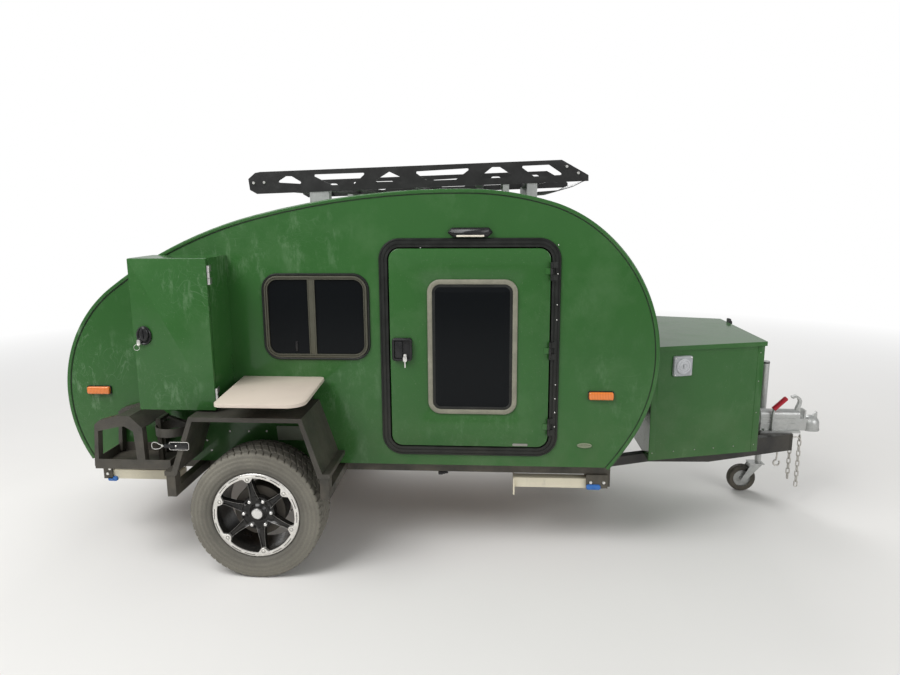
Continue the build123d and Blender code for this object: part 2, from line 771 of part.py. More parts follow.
if beam_top < RAIL_Z0 + 20.0:
    for side in (-1, 1):
        y = side * RAIL_Y
        chassis += block(
            BEAM_X - BEAM_S, BEAM_X + BEAM_S, y - RAIL_W / 2, y + RAIL_W / 2, beam_top, RAIL_Z0 + 20.0
        )

# Drawbar
draw_x0 = RAIL_X1 + CROSS_W
drawbar = Part()
for side in (-1, 1):
    a = (draw_x0, side * DRAW_Y)
    b = (DRAW_END_X, side * DRAW_END_Y)
    w = DRAW_W / 2 / math.cos(math.atan2(DRAW_Y - DRAW_END_Y, DRAW_END_X - draw_x0))
    beam = Polyline(
        [(a[0], a[1] - w), (b[0], b[1] - w), (b[0], b[1] + w), (a[0], a[1] + w)], close=True
    )
    drawbar += Pos(0, 0, DRAW_Z0) * extrude(make_face(beam), amount=DRAW_H)
beam_side = poly(
    [
        (draw_x0, DRAW_Z1),
        (draw_x0, DRAW_Z1 - DRAW_END_H),
        (DRAW_TAPER_X[0], DRAW_Z1 - DRAW_END_H),
        (DRAW_TAPER_X[1], DRAW_Z0),
        (DRAW_END_X, DRAW_Z0),
        (DRAW_END_X, DRAW_Z1),
    ]
)
drawbar &= prism(beam_side, -BODY_W, BODY_W)
drawbar += block(NOSE_X0, NOSE_X1, -NOSE_W / 2, NOSE_W / 2, DRAW_Z0, DRAW_Z1)
pieces["drawbar"] = drawbar

# Fenders
fender_path = [
    (FENDER_FOOT_X0 - FENDER_FOOT_L / 2, FENDER_FOOT_Z),
    (FENDER_FOOT_X0 - FENDER_FOOT_L / 2, FENDER_FOOT_Z + FENDER_LIP_H),
    (FENDER_FOOT_X0 + 8.0, FENDER_FOOT_Z + FENDER_LIP_H),
    (FENDER_TOP_X0, FENDER_TOP_Z),
    (FENDER_TOP_X1, FENDER_TOP_Z),
    (FENDER_FOOT_X1 - 8.0, FENDER_FOOT_Z + FENDER_LIP_H),
    (FENDER_FOOT_X1 + FENDER_FOOT_L / 2, FENDER_FOOT_Z + FENDER_LIP_H),
    (FENDER_FOOT_X1 + FENDER_FOOT_L / 2, FENDER_FOOT_Z),
]


def arch(thick):
    """Draw the fender's band, thick on its legs and top, in the side plane."""
    inner = [
        (FENDER_FOOT_X1 - 8.0 - thick, FENDER_FOOT_Z),
        (FENDER_TOP_X1 - thick * 0.7, FENDER_TOP_Z - thick),
        (FENDER_TOP_X0 + thick * 0.7, FENDER_TOP_Z - thick),
        (FENDER_FOOT_X0 + 8.0 + thick, FENDER_FOOT_Z),
    ]
    return poly(fender_path + inner)


fender = prism(arch(FENDER_T), -FENDER_Y, -HALF_W)
fender += prism(arch(FENDER_LIP_H), -FENDER_Y, -FENDER_Y + FENDER_LIP_W)
pair("fender", fender)

# Side tables on their wall brackets
table_edge = -HALF_W - TABLE_D
table_wall = -HALF_W - 1.0
table_board = make_face(
    Polyline(
        [
            (TABLE_X0, table_wall),
            (TABLE_X0_OUT, table_edge),
            (TABLE_X1_OUT, table_edge),
            (TABLE_X1, table_wall),
        ],
        close=True,
    )
)
table_corners = table_board.vertices().sort_by(Axis.Y)
table_board = fillet(table_corners[:2].sort_by(Axis.X)[0], TABLE_R)
table_board = fillet(table_board.vertices().sort_by(Axis.X)[-1], TABLE_R_FRONT)
table = Pos(0, 0, TABLE_Z - TABLE_T) * extrude(table_board, amount=TABLE_T)
for x in (TABLE_X0 + TABLE_BRACKET_IN, TABLE_X1 - TABLE_BRACKET_IN):
    bracket = make_face(
        Polyline(
            [
                (x, -HALF_W, TABLE_Z - TABLE_T),
                (x, -HALF_W - TABLE_BRACKET_L, TABLE_Z - TABLE_T),
                (x, -HALF_W, TABLE_Z - TABLE_T - TABLE_BRACKET_H),
            ],
            close=True,
        )
    )
    table += extrude(bracket, amount=TABLE_BRACKET_T, dir=(1, 0, 0))
both("side_tables", table)

# Rear holders
tray_y = -HALF_W - TRAY_D
tray_floor = TRAY_Z - TRAY_T + TRAY_WALL
holder = block(TRAY_X0, TRAY_X1, tray_y, -HALF_W, TRAY_Z - TRAY_T, TRAY_Z)
holder -= block(
    TRAY_X0 + TRAY_WALL,
    TRAY_X1 - TRAY_WALL,
    tray_y + TRAY_WALL,
    -HALF_W - TRAY_WALL,
    tray_floor,
    TRAY_Z + 1.0,
)
hoop = poly([(x, TRAY_Z + h) for x, h in HOOP_OUT + HOOP_IN])
holder += prism(hoop, tray_y, tray_y + HOOP_D)
holder += prism(hoop, -HALF_W - HOOP_D, -HALF_W)
cover_top = [(x, TRAY_Z + h) for x, h in HOOP_OUT[3:6]]
cover_low = [(x, z - COVER_T) for x, z in reversed(cover_top)]
holder += prism(poly(cover_top + cover_low), tray_y, -HALF_W)
post_y = -HALF_W - POST_OUT
post_y0 = post_y - POST_W / 2
post = block(POST_X, POST_X + POST_W, post_y0, post_y0 + POST_W, TRAY_Z - TRAY_T, HOLDER_TOP_Z - ARM_DROP)
holder -= post
pair("rear_holder", holder)

# Gas bottle rings, each on a post that stands in a hole in the holder's tray
ring = rod_z(RING_X, post_y, RING_R, RING_Z, RING_Z + RING_H)
ring -= rod_z(RING_X, post_y, RING_R - RING_T, RING_Z - 1.0, RING_Z + RING_H + 1.0)
bottle_ring = post + ring
arm_z = HOLDER_TOP_Z - ARM_DROP
arm_face = poly(
    [
        (POST_X, arm_z),
        (ARM_END_X, arm_z - ARM_DROP),
        (ARM_END_X, arm_z - ARM_DROP - ARM_H),
        (POST_X, arm_z - ARM_H),
    ]
)
arm_y = -HALF_W - ARM_OUT
bottle_ring += prism(arm_face, arm_y - POST_W, arm_y)
bottle_ring += block(POST_X, POST_X + POST_W, post_y0, arm_y, arm_z - ARM_H, arm_z)
both("bottle_rings", bottle_ring)

# Toolbox and lid
def box_plan(grow):
    """Draw the toolbox's tapered plan, moved outward by grow."""
    return make_face(
        Polyline(
            [
                (BOX_X0 - min(grow, LID_REAR), -BOX_Y0 - grow),
                (BOX_X1 + grow, -BOX_Y1 - grow),
                (BOX_X1 + grow, BOX_Y1 + grow),
                (BOX_X0 - min(grow, LID_REAR), BOX_Y0 + grow),
            ],
            close=True,
        )
    )


box_top = BOX_Z1 - LID_GAP
toolbox = Pos(0, 0, DRAW_Z1) * extrude(box_plan(0.0), amount=box_top - DRAW_Z1)
toolbox -= Pos(0, 0, DRAW_Z1 + BOX_WALL) * extrude(box_plan(-BOX_WALL), amount=BOX_Z1)
lid = Pos(0, 0, BOX_Z1 - LID_H) * extrude(box_plan(LID_OVER), amount=LID_H + 4.0)
lid -= Pos(0, 0, BOX_Z1 - LID_H - 1.0) * extrude(box_plan(LID_OVER - 3.0), amount=LID_H + 1.0)
LID_PIN_X = BOX_X0 + 2.0
LID_PIN_Z = BOX_Z1 + 4.0 + KNUCKLE_R + 1.0
for y in LID_HINGE_Y:
    fixed, moving = hinge_with_tabs((-0.5, 34.0), (26.0, KNUCKLE_R + 4.0))
    turn = Pos(LID_PIN_X, y, LID_PIN_Z) * Rot(-90, 0, 0)
    notch_y = HINGE_L / 2 + 4.0
    lid -= block(
        BOX_X0 - 10.0, LID_PIN_X + 8.0, y - notch_y, y + notch_y, BOX_Z1 - LID_H - 1.0, BOX_Z1 + 5.0
    )
    toolbox += turn * fixed
    lid += turn * moving
pieces["toolbox_body"] = toolbox
pieces["toolbox_lid"] = lid

# Coupling, coupler lever and brake lever
coupler_base_z = DRAW_Z1 + COUPLER_BASE_T
coupler = block(
    COUPLER_X0, COUPLER_X1, -COUPLER_BASE_W / 2, COUPLER_BASE_W / 2, DRAW_Z1, coupler_base_z
)
housing = block(COUPLER_X0, COUPLER_X1, -COUPLER_W / 2, COUPLER_W / 2, DRAW_Z1, COUPLER_TOP_Z)
coupler += fillet(housing.edges().filter_by(Axis.X).group_by(Axis.Z)[-1], COUPLER_R)
for z in RIDGE_Z:
    half = COUPLER_W / 2 + RIDGE_T
    coupler += block(COUPLER_X0, COUPLER_X1 - COUPLER_R, -half, half, z, z + RIDGE_H)
coupler += block(COUPLER_X1 - 1.0, BALL_X, -NECK_W / 2, NECK_W / 2, SOCKET_Z0 + 1.0, NECK_TOP_Z)
coupler += block(FIN_X, FIN_X + FIN_T, -FIN_W / 2, FIN_W / 2, SOCKET_Z0 + 1.0, FIN_Z1)
head = Pos(BALL_X, 0, HEAD_Z) * Sphere(HEAD_R)
head += rod_z(BALL_X, 0, HEAD_R, SOCKET_Z0, HEAD_Z)
head += rod_z(BALL_X, 0, HEAD_R + 3.0, SOCKET_Z0, SOCKET_Z0 + HEAD_FLANGE_T)
head -= block(BALL_X - FAR, BALL_X + FAR, -FAR, FAR, 0.0, SOCKET_Z0)
coupler += head
tip = poly([(BALL_X + x, HEAD_Z + h) for x, h in HEAD_TIP])
coupler += prism(tip, -TIP_T / 2, TIP_T / 2)
coupler -= rod_z(BALL_X, 0, BALL_R, SOCKET_Z0 - 1.0, SOCKET_Z0 + SOCKET_H)
pieces["coupler"] = coupler
lever_edge = [(x, NECK_TOP_Z + h) for x, h in LEVER_LINE + LEVER_BACK]
lever_cut = block(COUPLER_X0, COUPLER_X1 + 0.3, -BODY_W, BODY_W, DRAW_Z1, COUPLER_TOP_Z + 0.3)
pieces["coupler_lever"] = prism(poly(lever_edge), -LEVER_W / 2, LEVER_W / 2) - lever_cut
grip = Pos(GRIP_X, GRIP_Y, GRIP_Z) * Rot(0, 45, 0) * Cylinder(GRIP_R, GRIP_L)
stem_x = GRIP_X - GRIP_L / 3
grip += block(
    stem_x - GRIP_R / 2,
    stem_x + GRIP_R / 2,
    GRIP_Y - GRIP_STEM_T / 2,
    GRIP_Y + GRIP_STEM_T / 2,
    coupler_base_z,
    GRIP_Z - GRIP_L / 3,
)
pieces["brake_lever"] = grip

# Jockey mast, fork and wheel
mast = rod_z(MAST_X, MAST_Y, MAST_R, MAST_Z0, MAST_Z1)
clamp_z = (DRAW_Z0 + 20.0, DRAW_Z1 - 20.0)
mast += block(MAST_X - MAST_CLAMP_L / 2, MAST_X + MAST_CLAMP_L / 2, NOSE_W / 2, MAST_Y, *clamp_z)
mast -= drawbar
mast -= rod_z(MAST_X, MAST_Y, INNER_R + PIN_GAP, MAST_Z0 - 1.0, MAST_Z0 + INNER_IN + 10.0)
pieces["jockey_mast"] = mast
axle_x = MAST_X - JOCKEY_TRAIL
fork_top = MAST_Z0 + INNER_IN
fork = rod_z(MAST_X, MAST_Y, INNER_R, fork_top - 60.0, fork_top)
fork_half = JOCKEY_W / 2 + 6.0
plate_z = JOCKEY_R * 2 + JOCKEY_GAP
fork += block(
    MAST_X - 60.0,
    MAST_X + 30.0,
    MAST_Y - fork_half - FORK_T,
    MAST_Y + fork_half + FORK_T,
    plate_z,
    plate_z + FORK_T,
)
fork += rod_z(MAST_X, MAST_Y, INNER_R, plate_z, fork_top)
cheek = poly(
    [
        (axle_x - 2 * JOCKEY_AXLE_R, JOCKEY_R - 14.0),
        (axle_x + 2 * JOCKEY_AXLE_R, JOCKEY_R - 14.0),
        (MAST_X + 20.0, plate_z + FORK_T),
        (MAST_X - 50.0, plate_z + FORK_T),
    ]
)
for side in (-1, 1):
    y0, y1 = sorted((MAST_Y + side * fork_half, MAST_Y + side * (fork_half + FORK_T)))
    fork += prism(cheek, y0, y1)
fork += rod_y(axle_x, JOCKEY_R, JOCKEY_AXLE_R, MAST_Y - fork_half, MAST_Y + fork_half)
pieces["jockey_fork"] = fork
jockey = rod_y(axle_x, JOCKEY_R, JOCKEY_R, MAST_Y - JOCKEY_W / 2, MAST_Y + JOCKEY_W / 2)
jockey -= rod_y(axle_x, JOCKEY_R, JOCKEY_AXLE_R + 0.3, MAST_Y - JOCKEY_W, MAST_Y + JOCKEY_W)
pieces["jockey_wheel"] = jockey

# Stabiliser legs folded under the corners, and their hangers
leg_y0 = -LEG_Y - LEG_W / 2
leg_y1 = -LEG_Y + LEG_W / 2
hanger_y0 = leg_y0 - HANGER_GAP - HANGER_T
hanger_y1 = leg_y1 + HANGER_GAP + HANGER_T
# name, pivot x, way towards the foot, hanger's length outward from the pivot
LEGS = (("rear", LEG_REAR_X, 1, HANGER_L), ("front", LEG_FRONT_X, -1, HANGER_FRONT_L))
for end, x, way, outward in LEGS:
    x_far = x + way * LEG_L
    x0, x1 = sorted((x, x_far))
    arm = block(x0, x1, leg_y0, leg_y1, LEG_Z - LEG_H / 2, LEG_Z + LEG_H / 2)
    arm -= block(
        x0 - 1.0,
        x1 + 1.0,
        leg_y0 + LEG_WALL,
        leg_y1 - LEG_WALL,
        LEG_Z - LEG_H,
        LEG_Z + LEG_H / 2 - LEG_WALL,
    )
    arm += rod_y(x, LEG_Z, LEG_H / 2, leg_y0, leg_y1)
    fx0, fx1 = sorted((x_far, x_far + way * LEG_FOOT_T))
    foot_y = LEG_FOOT_W / 2
    foot_z1 = LEG_Z + LEG_H / 2
    arm += block(fx0, fx1, -LEG_Y - foot_y, -LEG_Y + foot_y, foot_z1 - LEG_FOOT_L, foot_z1)
    arm -= rod_y(x, LEG_Z, LEG_PIN_R + PIN_GAP, -LEG_Y - LEG_W, -LEG_Y + LEG_W)
    pair(end + "_leg", arm)
    hx0, hx1 = sorted((x + way * HANGER_L, x - way * outward))
    hanger = block(hx0, hx1, hanger_y0, hanger_y0 + HANGER_T, LEG_Z - HANGER_DROP, RAIL_Z0)
    hanger += block(hx0, hx1, hanger_y1 - HANGER_T, hanger_y1, LEG_Z - HANGER_DROP, RAIL_Z0)
    hanger += block(hx0, hx1, hanger_y0, hanger_y1, RAIL_Z0 - HANGER_T, RAIL_Z0)
    hanger += rod_y(x, LEG_Z, LEG_PIN_R, hanger_y0, hanger_y1)
    chassis += hanger
    chassis += left(hanger)
pieces["chassis_frame"] = chassis

# Roof rack: side plates, cross bars and feet
rack_side = poly(RACK_SIDE)
for hole in RACK_HOLES:
    opening = poly(hole)
    rack_side -= fillet(opening.vertices(), RACK_HOLE_R)
rack = Part()
for side in (-1, 1):
    y0, y1 = sorted((side * (RACK_Y - RACK_PLATE_T), side * RACK_Y))
    rack += prism(rack_side, y0, y1)


def rack_floor(x):
    """Give the height of the side plate's lower edge at x."""
    x0, z0 = RACK_SIDE[0]
    x1, z1 = RACK_SIDE[-1]
    return z0 + (z1 - z0) * (x - x0) / (x1 - x0)


rack_in = RACK_Y - RACK_PLATE_T
for x in RACK_BAR_X + tuple((x0 + x1) / 2 for x0, x1 in RACK_FEET):
    z = rack_floor(x) + RACK_LIFT
    rack += block(x - RACK_BAR_W / 2, x + RACK_BAR_W / 2, -rack_in, rack_in, z, z + RACK_BAR_H)
deflector = poly(DEFLECTOR + tuple((x, z + DEFLECTOR_T) for x, z in reversed(DEFLECTOR)))
rack += prism(deflector, -RACK_Y, RACK_Y)
pieces["roof_rack"] = rack
feet = Part()
for x0, x1 in RACK_FEET:
    z = rack_floor((x0 + x1) / 2) + RACK_LIFT
    foot = block(x0, x1, -rack_in, -rack_in + RACK_FOOT_W, FLOOR_Z, z)
    feet += foot - prism(outline_face(), -HALF_W, HALF_W)
feet -= rack
both("rack_feet", feet)

# Lamps and the power inlet
lamps = Part()
for x in (LAMP_REAR_X, LAMP_FRONT_X):
    lamps += block(
        x - LAMP_L / 2, x + LAMP_L / 2, -HALF_W - LAMP_T, -HALF_W, LAMP_Z - LAMP_H / 2, LAMP_Z + LAMP_H / 2
    )
both("marker_lamps", lamps)
both(
    "porch_lamps",
    block(
        PORCH_X - PORCH_L / 2,
        PORCH_X + PORCH_L / 2,
        -HALF_W - PORCH_T,
        -HALF_W,
        PORCH_Z - PORCH_H / 2,
        PORCH_Z + PORCH_H / 2,
    ),
)
box_angle = math.degrees(math.atan2(BOX_Y0 - BOX_Y1, BOX_X1 - BOX_X0))
inlet_share = (INLET_X - BOX_X0) / (BOX_X1 - BOX_X0)
inlet_y = -BOX_Y0 + (BOX_Y0 - BOX_Y1) * inlet_share
inlet = Pos(INLET_X, inlet_y, INLET_Z) * Rot(0, 0, box_angle) * Pos(0, -INLET_T / 2, 0)
pieces["power_inlet"] = inlet * Box(INLET_S, INLET_T, INLET_S)


def outline_x_rear(z):
    """Give the x of the outline's rear edge at height z."""
    slab = outline_face() & rect(-FAR, 0, z - 0.5, z + 0.5)
    return slab.bounding_box().min.X


tail_x = outline_x_rear(TAIL_Z + TAIL_H / 2)
tail = block(
    tail_x - TAIL_T,
    tail_x + TAIL_IN,
    -TAIL_Y - TAIL_W / 2,
    -TAIL_Y + TAIL_W / 2,
    TAIL_Z - TAIL_H / 2,
    TAIL_Z + TAIL_H / 2,
)
tail -= prism(outline_face(), -HALF_W, HALF_W)
both("tail_lamps", tail)

# Safety chains: flat-sided links, each turned a quarter from the last, hanging straight
link_ring = SlotOverall(LINK_L, LINK_W) - SlotOverall(LINK_L - 2 * LINK_T, LINK_W - 2 * LINK_T)
link = Rot(0, 90, 0) * (Pos(0, 0, -LINK_T / 2) * extrude(link_ring, amount=LINK_T))
chain = Part()
link_pitch = LINK_L - 2 * LINK_T + LINK_SLACK
for x, y, length in CHAINS:
    for i in range(round(length / link_pitch)):
        z = CHAIN_TOP_Z - i * link_pitch
        chain += Pos(x, y, z) * Rot(0, 0, 90.0 * (i % 2)) * link
plate_half = CHAIN_PLATE_T / 2
for x, y, length in CHAINS:
    chain += block(
        NOSE_X1,
        x + LINK_T,
        y - LINK_W / 2,
        y + LINK_W / 2,
        CHAIN_TOP_Z - plate_half,
        CHAIN_TOP_Z + plate_half,
    )
hook_ring = prism(rect(-HOOK_R, HOOK_R, -HOOK_R, HOOK_R, HOOK_R - 1.0), -HOOK_T / 2, HOOK_T / 2)
hook_hole = rect(HOOK_T - HOOK_R, HOOK_R - HOOK_T, HOOK_T - HOOK_R, HOOK_R - HOOK_T, HOOK_R - HOOK_T - 1.0)
hook_ring -= prism(hook_hole, -HOOK_T, HOOK_T)
hook = Pos(HOOK_X, HOOK_Y, HOOK_Z) * hook_ring
hook += rod_z(HOOK_X, HOOK_Y, HOOK_T / 2, HOOK_Z + HOOK_R - 2.0, DRAW_Z0)
pieces["safety_chains"] = Compound(children=[*chain.solids(), *hook.solids()])

# Move every piece to the shared origin and write it
every = Compound(children=[solid for shape in pieces.values() for solid in shape.solids()])
extent = every.bounding_box()
PLACE_X = -(extent.min.X + extent.max.X) / 2
for name, shape in pieces.items():
    export_step(Pos(PLACE_X, 0, 0) * shape, "parts/" + name + ".step")
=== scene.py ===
import math

import bmesh
import bpy
import numpy as np
from bpy.props import FloatProperty, FloatVectorProperty, IntProperty, PointerProperty
from mathutils import Matrix, Vector


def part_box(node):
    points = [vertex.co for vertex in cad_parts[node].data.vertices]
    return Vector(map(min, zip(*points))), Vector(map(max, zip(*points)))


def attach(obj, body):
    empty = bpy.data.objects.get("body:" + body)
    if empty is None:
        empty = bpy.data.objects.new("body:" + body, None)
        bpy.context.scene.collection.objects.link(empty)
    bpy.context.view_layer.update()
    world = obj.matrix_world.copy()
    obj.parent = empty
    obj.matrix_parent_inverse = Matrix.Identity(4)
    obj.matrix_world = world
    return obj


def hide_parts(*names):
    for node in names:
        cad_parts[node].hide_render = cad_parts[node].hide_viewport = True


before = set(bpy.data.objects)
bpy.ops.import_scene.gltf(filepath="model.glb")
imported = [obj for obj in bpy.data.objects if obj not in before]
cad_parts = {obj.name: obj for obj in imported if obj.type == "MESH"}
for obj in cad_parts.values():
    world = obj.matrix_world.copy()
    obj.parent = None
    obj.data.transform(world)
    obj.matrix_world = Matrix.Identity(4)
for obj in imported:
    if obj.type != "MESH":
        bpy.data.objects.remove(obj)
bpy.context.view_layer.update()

bl_info = {
    "name": "Teardrop trailer",
    "version": (1, 0, 0),
    "blender": (4, 5, 0),
    "location": "3D View > Sidebar > Trailer",
    "description": "Dresses the packed teardrop trailer with its finishes and fine pieces",
    "category": "Object",
}

# Every place below is in millimetres from the point on the ground under the axle: x forward, y to the
# left, z up. A depth is the distance from the trailer's middle plane out to the right-hand side.
MM = 0.001
AXLE_X = (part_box("tyre_right")[0][0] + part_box("tyre_right")[1][0]) / 2
PLACE = np.array([AXLE_X, 0.0, 0.0])


def span(name):
    """Lowest and highest corner of a CAD node, in millimetres from the axle's foot."""
    return (np.array(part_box(name)) - PLACE) / MM


TYRE_LOW, TYRE_HIGH = span("tyre_right")
TYRE_HALF = (TYRE_HIGH[1] - TYRE_LOW[1]) / 2
TYRE_R = TYRE_HIGH[2] / 2
WHEEL_Z = TYRE_R
WHEEL_D = -(TYRE_LOW[1] + TYRE_HIGH[1]) / 2
WALL = 750.0
# x0, x1, z0, z1 of the door's opening, the door's window, the sliding window and the locker door
DOOR = (640.0, 1457.0, 602.0, 1635.0)
DOOR_R = 62.0
DOOR_FACE = WALL + 10.0
DOOR_PIN = (DOOR[1] - 3.0, WALL + 20.0)
DOOR_HINGES = (720.0, 1118.0, 1517.0)
DOOR_WINDOW = (838.0, 1291.0, 783.0, 1477.0)
SLIDE_WINDOW = (-9.0, 545.0, 1060.0, 1506.0)
LOCKER = (-565.0, -182.0, 857.0, 1599.0)
LOCKER_FACE = 1004.0
FENDER_FACE = 1090.0
OUTLINE_START = (-994.0, 500.0)
OUTLINE_HEADING = 120.5
# radius, sweep of the side outline's arcs, from the rear bottom edge over the roof to the front
OUTLINE_ARCS = ((705, 84.3), (2220, 22.3), (4140, 15.0), (1505, 15.0), (720, 24.3), (825, 79.3), (1455, 8.6))
SPOKES = 6

# Axes of drawing planes as rows: along, across, depth
SIDE = np.array([[1.0, 0, 0], [0, 0, 1], [0, -1, 0]])
DECK = np.array([[1.0, 0, 0], [0, -1, 0], [0, 0, 1]])
FRONT = np.array([[0, 1.0, 0], [0, 0, 1], [1, 0, 0]])
REAR = np.array([[0, -1.0, 0], [0, 0, 1], [-1, 0, 0]])

WHITE = (1.0, 1.0, 1.0, 1.0)
AMBER = (0.80, 0.21, 0.03)
LAMP_RED = (0.55, 0.015, 0.012)
GRIP_RED = (0.42, 0.010, 0.025)


def colour(name, text, value):
    """Give a colour property with its name, description and default."""
    limits = {"min": 0.0, "max": 1.0}
    limits["size"] = 3
    return FloatVectorProperty(name=name, description=text, subtype="COLOR", default=value, **limits)


def size(name, text, value):
    """Give a length property in metres."""
    unit = {"subtype": "DISTANCE", "unit": "LENGTH"}
    return FloatProperty(name=name, description=text, default=value, min=0.0, max=1.0, **unit)


class TrailerFinish(bpy.types.PropertyGroup):
    """Colours of the trailer's finishes."""

    paint: colour("Body paint", "Gloss green of walls, doors and toolbox", (0.026, 0.100, 0.022))
    steel: colour("Black steel", "Powder coat on rack and drawbar", (0.016, 0.016, 0.016))
    zinc: colour("Galvanised steel", "Coupler and mast", (0.52, 0.53, 0.52))
    cream: colour("Pale legs", "Stabiliser legs", (0.68, 0.63, 0.49))
    rubber: colour("Rubber", "Seals and mouldings", (0.010, 0.011, 0.010))
    tyre: colour("Tyre", "Clean tyre rubber", (0.032, 0.030, 0.027))
    dust: colour("Road dust", "Dust on wheels and fenders", (0.27, 0.235, 0.175))
    board: colour("Board", "Table tops", (0.62, 0.54, 0.46))
    band: colour("Window band", "Grey band round the door's window", (0.20, 0.195, 0.150))


class TrailerSizes(bpy.types.PropertyGroup):
    """Sizes of the fine pieces."""

    tread_depth: size("Tread depth", "Depth of the tyre's grooves", 0.008)
    tread_blocks: IntProperty(
        name="Tread blocks", description="Shoulder blocks round a tyre", default=56, min=24, max=90
    )
    bolt: size("Bolt", "Radius of a bolt's head", 0.008)
    screw: size("Screw", "Radius of a small screw's head", 0.0035)
    crown: size("Mattress crown", "How far the mattress may swell", 0.014)


class TrailerStage(bpy.types.PropertyGroup):
    """Floor, lights and surround."""

    floor: colour("Floor", "Plain pale floor", (0.80, 0.79, 0.77))
    key_power: FloatProperty(
        name="Key light", description="Power of the large soft light", default=400.0, min=0.0, unit="POWER"
    )
    sky: FloatProperty(name="Surround", description="Strength of the plain surround", default=0.42, min=0.0)


def finishes():
    """The colours the user may change."""
    return bpy.context.scene.trailer_finish


def sizes():
    """The sizes the user may change."""
    return bpy.context.scene.trailer_sizes


# Surfaces


def grid(points, closed=False, start=None, end=None):
    """Quads between neighbouring rows of points[i, j], each row closed round. The last row joins the
    first with closed. Otherwise start and end, if given, are points that close the ends as fans, and
    without them one face closes each end. Gives places, corner indices and face sizes."""
    rows, cols = points.shape[:2]
    index = np.arange(rows * cols).reshape(rows, cols)
    low = index if closed else index[:-1]
    high = np.roll(index, -1, 0) if closed else index[1:]
    quads = np.stack([low, np.roll(low, -1, 1), np.roll(high, -1, 1), high], -1)
    places = points.reshape(-1, 3)
    corners = [quads.ravel()]
    counts = [np.full(quads.size // 4, 4)]
    if not closed:
        for row, tip in ((index[0][::-1], start), (index[-1], end)):
            if tip is None:
                corners.append(row)
                counts.append(np.array([cols]))
            else:
                fan = np.stack([np.full(cols, len(places)), row, np.roll(row, -1)], -1)
                places = np.concatenate([places, np.asarray(tip, float)[None]])
                corners.append(fan.ravel())
                counts.append(np.full(cols, 3))
    return places, np.concatenate(corners), np.concatenate(counts)


def at(points, origin=(0.0, 0.0, 0.0), axes=SIDE):
    """Place local points (a, b, depth): origin + a e1 + b e2 + depth e3."""
    return np.asarray(origin, float) + np.asarray(points, float) @ axes


def rounded_polygon(corners, radii, steps=8):
    """A convex outline with round corners. Each corner's arc is c + r (cos f, sin f), where f runs between
    the normals n1 and n2 of its two sides and c = p - r (n1 + n2) / (1 + n1 . n2)."""
    corners = np.asarray(corners, float)
    radii = np.broadcast_to(np.asarray(radii, float), len(corners))
    run = np.roll(corners, -1, 0) - corners
    run /= np.linalg.norm(run, axis=1, keepdims=True)
    after = np.stack([run[:, 1], -run[:, 0]], -1)
    before = np.roll(after, 1, 0)
    cosine = (before * after).sum(1)
    turn = np.arctan2(before[:, 0] * after[:, 1] - before[:, 1] * after[:, 0], cosine)
    angle = np.arctan2(before[:, 1], before[:, 0])[:, None] + turn[:, None] * np.linspace(0, 1, steps + 1)
    out = np.stack([np.cos(angle), np.sin(angle)], -1)
    middle = corners - (before + after) * (radii / (1 + cosine))[:, None]
    points = middle[:, None] + radii[:, None, None] * out
    return points.reshape(-1, 2), out.reshape(-1, 2)


def rounded(x0, x1, z0, z1, r, steps=8):
    """A rectangle's outline with round corners."""
    return rounded_polygon([(x0, z0), (x1, z0), (x1, z1), (x0, z1)], r, steps)


def rings(outline, profile):
    """An outline p with normals n for each (offset o, depth d) of a profile: (p + o n, d)."""
    points, normals = outline
    profile = np.asarray(profile, float)
    flat = points[None] + profile[:, 0, None, None] * normals[None]
    depth = np.broadcast_to(profile[:, 1, None, None], (*flat.shape[:2], 1))
    return np.concatenate([flat, depth], -1)


def band(outline, profile, axes=SIDE, closed=True):
    """A closed profile of (offset, depth) carried along an outline."""
    return grid(at(rings(outline, profile), axes=axes).swapaxes(0, 1), closed=closed)


def plate(outline, profile, origin=(0.0, 0.0, 0.0), axes=SIDE):
    """A solid plate: the outline at each (offset, depth) of an open profile, closed at back and front."""
    return grid(at(rings(outline, profile), origin, axes))


def edged(depth0, depth1, r):
    """A plate's profile with its front edge rounded in two steps of r."""
    return [(0, depth0), (0, depth1 - r), (-0.3 * r, depth1 - 0.3 * r), (-r, depth1)]


def raised(profile, depth):
    """A profile of (offset, height) over a face at a depth."""
    return [(offset, depth + height) for offset, height in profile]


def lathe(profile, origin, axes=SIDE, steps=24, closed=False):
    """A profile of (r, depth) turned round the depth axis: (r cos t, r sin t, depth). A radius of 0 at an
    end of the profile makes a closed pole there."""
    profile = np.asarray(profile, float)
    start = end = None
    if not closed and profile[0, 0] == 0:
        start = at((0, 0, profile[0, 1]), origin, axes)
        profile = profile[1:]
    if not closed and profile[-1, 0] == 0:
        end = at((0, 0, profile[-1, 1]), origin, axes)
        profile = profile[:-1]
    wide = profile[:, 0, None, None] * circle(1.0, steps)
    depth = np.broadcast_to(profile[:, 1, None, None], (*wide.shape[:2], 1))
    points = np.concatenate([wide, depth], -1)
    return grid(at(points, origin, axes), closed, start, end)


def sweep(path, profile, up, closed=False):
    """A profile (u, v) carried along a path p: p + u side + v rise, where side = along x up and
    rise = side x along."""
    path = np.asarray(path, float)
    along = np.roll(path, -1, 0) - np.roll(path, 1, 0) if closed else np.gradient(path, axis=0)
    along /= np.linalg.norm(along, axis=1, keepdims=True)
    side = np.cross(along, np.asarray(up, float))
    side /= np.linalg.norm(side, axis=1, keepdims=True)
    rise = np.cross(side, along)
    profile = np.asarray(profile, float)
    points = path[:, None] + profile[None, :, :1] * side[:, None] + profile[None, :, 1:] * rise[:, None]
    return grid(points, closed=closed)


def circle(r, steps):
    """A circle's points r (cos t, sin t)."""
    turn = np.arange(steps) * 2 * math.pi / steps
    return r * np.stack([np.cos(turn), np.sin(turn)], -1)


